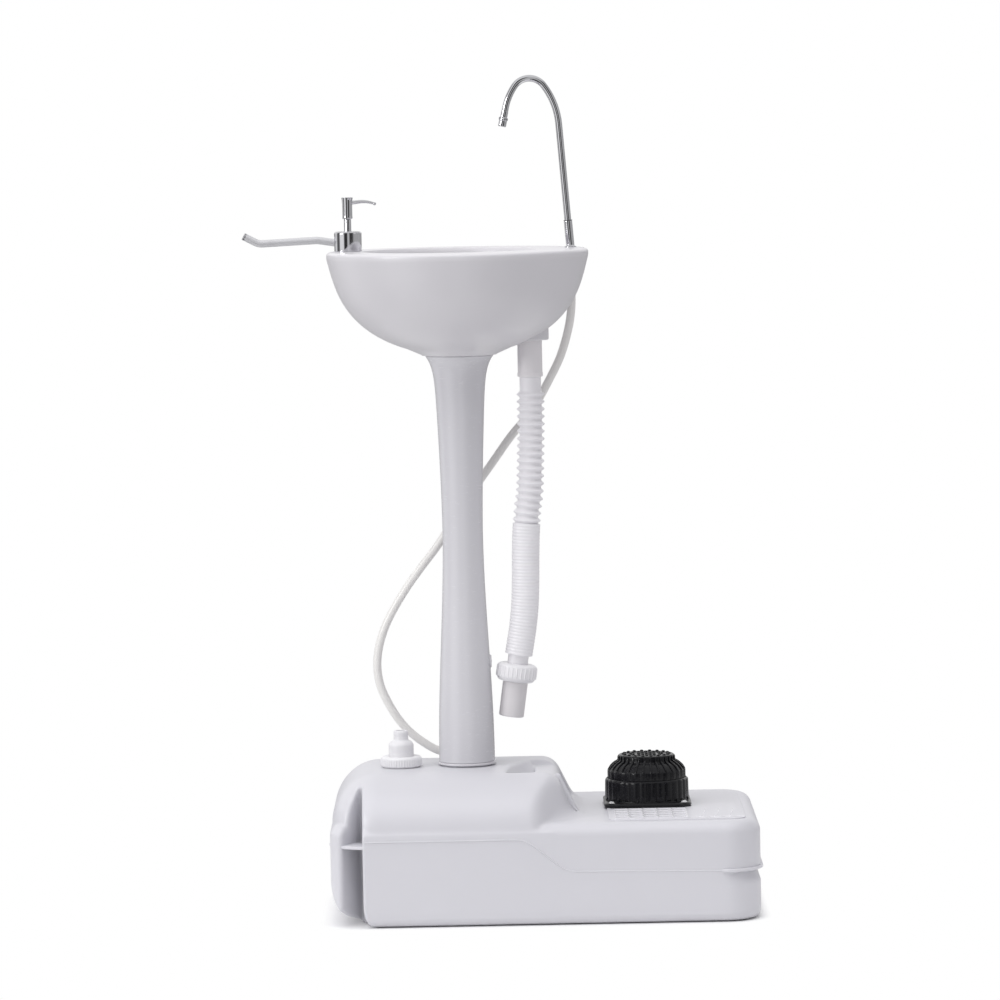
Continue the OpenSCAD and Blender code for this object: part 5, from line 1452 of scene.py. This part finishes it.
inside = [(0, 175.8), (27.5, 175.8), (27.7, 163), (43.6, 160.3)]
skirt = [(43.6, 147.7), (47.4, 147.7), (47.4, 150.1), (46.2, 150.3), (46.2, 154), (46.2, 158),
         (46.2, 161.4), (45.9, 162.6), (45.0, 163.9)]
cone = [(43.2, 166.6), (41.0, 168.9), (38.2, 170.9), (35.6, 172.2), (34.2, 173.2), (33.6, 174.6),
        (33.5, 177.5), (33.5, 179.6), (33.2, 180.5), (32.4, dome_top), (0, dome_top)]
dome = lathe("pump_dome", inside + skirt + cone, pump_black, pump_place, count=360, soft_angle=50,
             body="pump_plunger", swell=waves(0.75, 150.3, 164.5))
rib = [Vector(p) for p in (
    (31.0, 163), (45.2, 151.5), (46.9, 151.3), (47.1, 153), (47.1, 161.6), (46.6, 163.8),
    (44.3, 167.6), (41.9, 170.1), (38.9, 172.3), (36.2, 173.8), (34.9, 174.8), (34.4, 176.4),
    (34.4, 179.2), (33.7, 180.2), (31.0, 180.2))]
middle = sum(rib, Vector((0, 0))) / len(rib)
sides = []
for y, shrink in ((-1.3, 0.8), (-0.8, 0.1), (0.0, 0.0), (0.8, 0.1), (1.3, 0.8)):
    outline = [p - (p - middle).normalized() * shrink for p in rib]
    sides.append([Vector((p.x - rib_ring, y, p.y)) for p in outline])
bm = bmesh.new()
skin_rings(bm, sides)
ribs = copies_round("pump_ribs", loose_mesh("pump_rib", bm, 40), flute_count, rib_ring, pump_black,
                    pump_place, body="pump_plunger")
stud = [(0, -0.5), (2.25, -0.5), (2.15, 0.6), (1.8, 1.3), (1.2, 1.7), (0, 1.8)]
top_place = pump_place @ shift(0, 0, dome_top)
studs = [lathe("pump_stud_middle", stud, pump_black, top_place, count=20, soft_angle=50,
               body="pump_plunger")]
for n in (1, 2, 3):
    bm = bmesh.new()
    turned(bm, stud, 20)
    studs.append(copies_round("pump_studs_%d" % n, loose_mesh("stud", bm, 50), 6 * n,
                              stud_spacing * n, pump_black, top_place, body="pump_plunger"))
plunger = join("pump_plunger_piece", [dome, ribs] + studs, "pump_plunger")
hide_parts("pump_plunger")

bm = bmesh.new()
turned(bm, eased([(0, 0.02), (4.5, 0.02, 0.2), (4.6, 0.5, 0.3), (3.5, 1.6, 0.8), (2.2, 2.5, 0.8),
                  (0, 2.6)], 0.3), 32)
for a in (0, 90):
    cross = Matrix.Rotation(math.radians(a), 4, "Z")
    skin_rings(bm, [[cross @ Vector((x, y, z)) for x, y in (
        (-2.3, -0.4), (2.3, -0.4), (2.3, 0.4), (-2.3, 0.4))] for z in (2.2, 2.62)])
turned(bm, [(0, -13.9), (0.6, -13.9), (2, -12)] + threads(2, 0.35, -11.5, 0.5, 22)
       + [(2, 0.1), (0, 0.1)], 16)
screws = copies_round("pump_screws_piece", loose_mesh("screw", bm, 40), 4, screw_ring, screw_steel,
                      pump_place @ shift(0, 0, base_high), first_turn=math.radians(45))
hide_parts("pump_screws")
spring = coil_spring("pump_spring_piece", (pump_x, pump_y), radius=18, wire=1.4, low=126.6,
                     high=174.2, turns=7)
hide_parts("pump_spring")
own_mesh(spring)
dress(rubber, "pump_gasket", "pump_seal", "pump_inlet_valve")
dress(fitting_plastic, "intake_tube")
dress(steel, "intake_strainer")
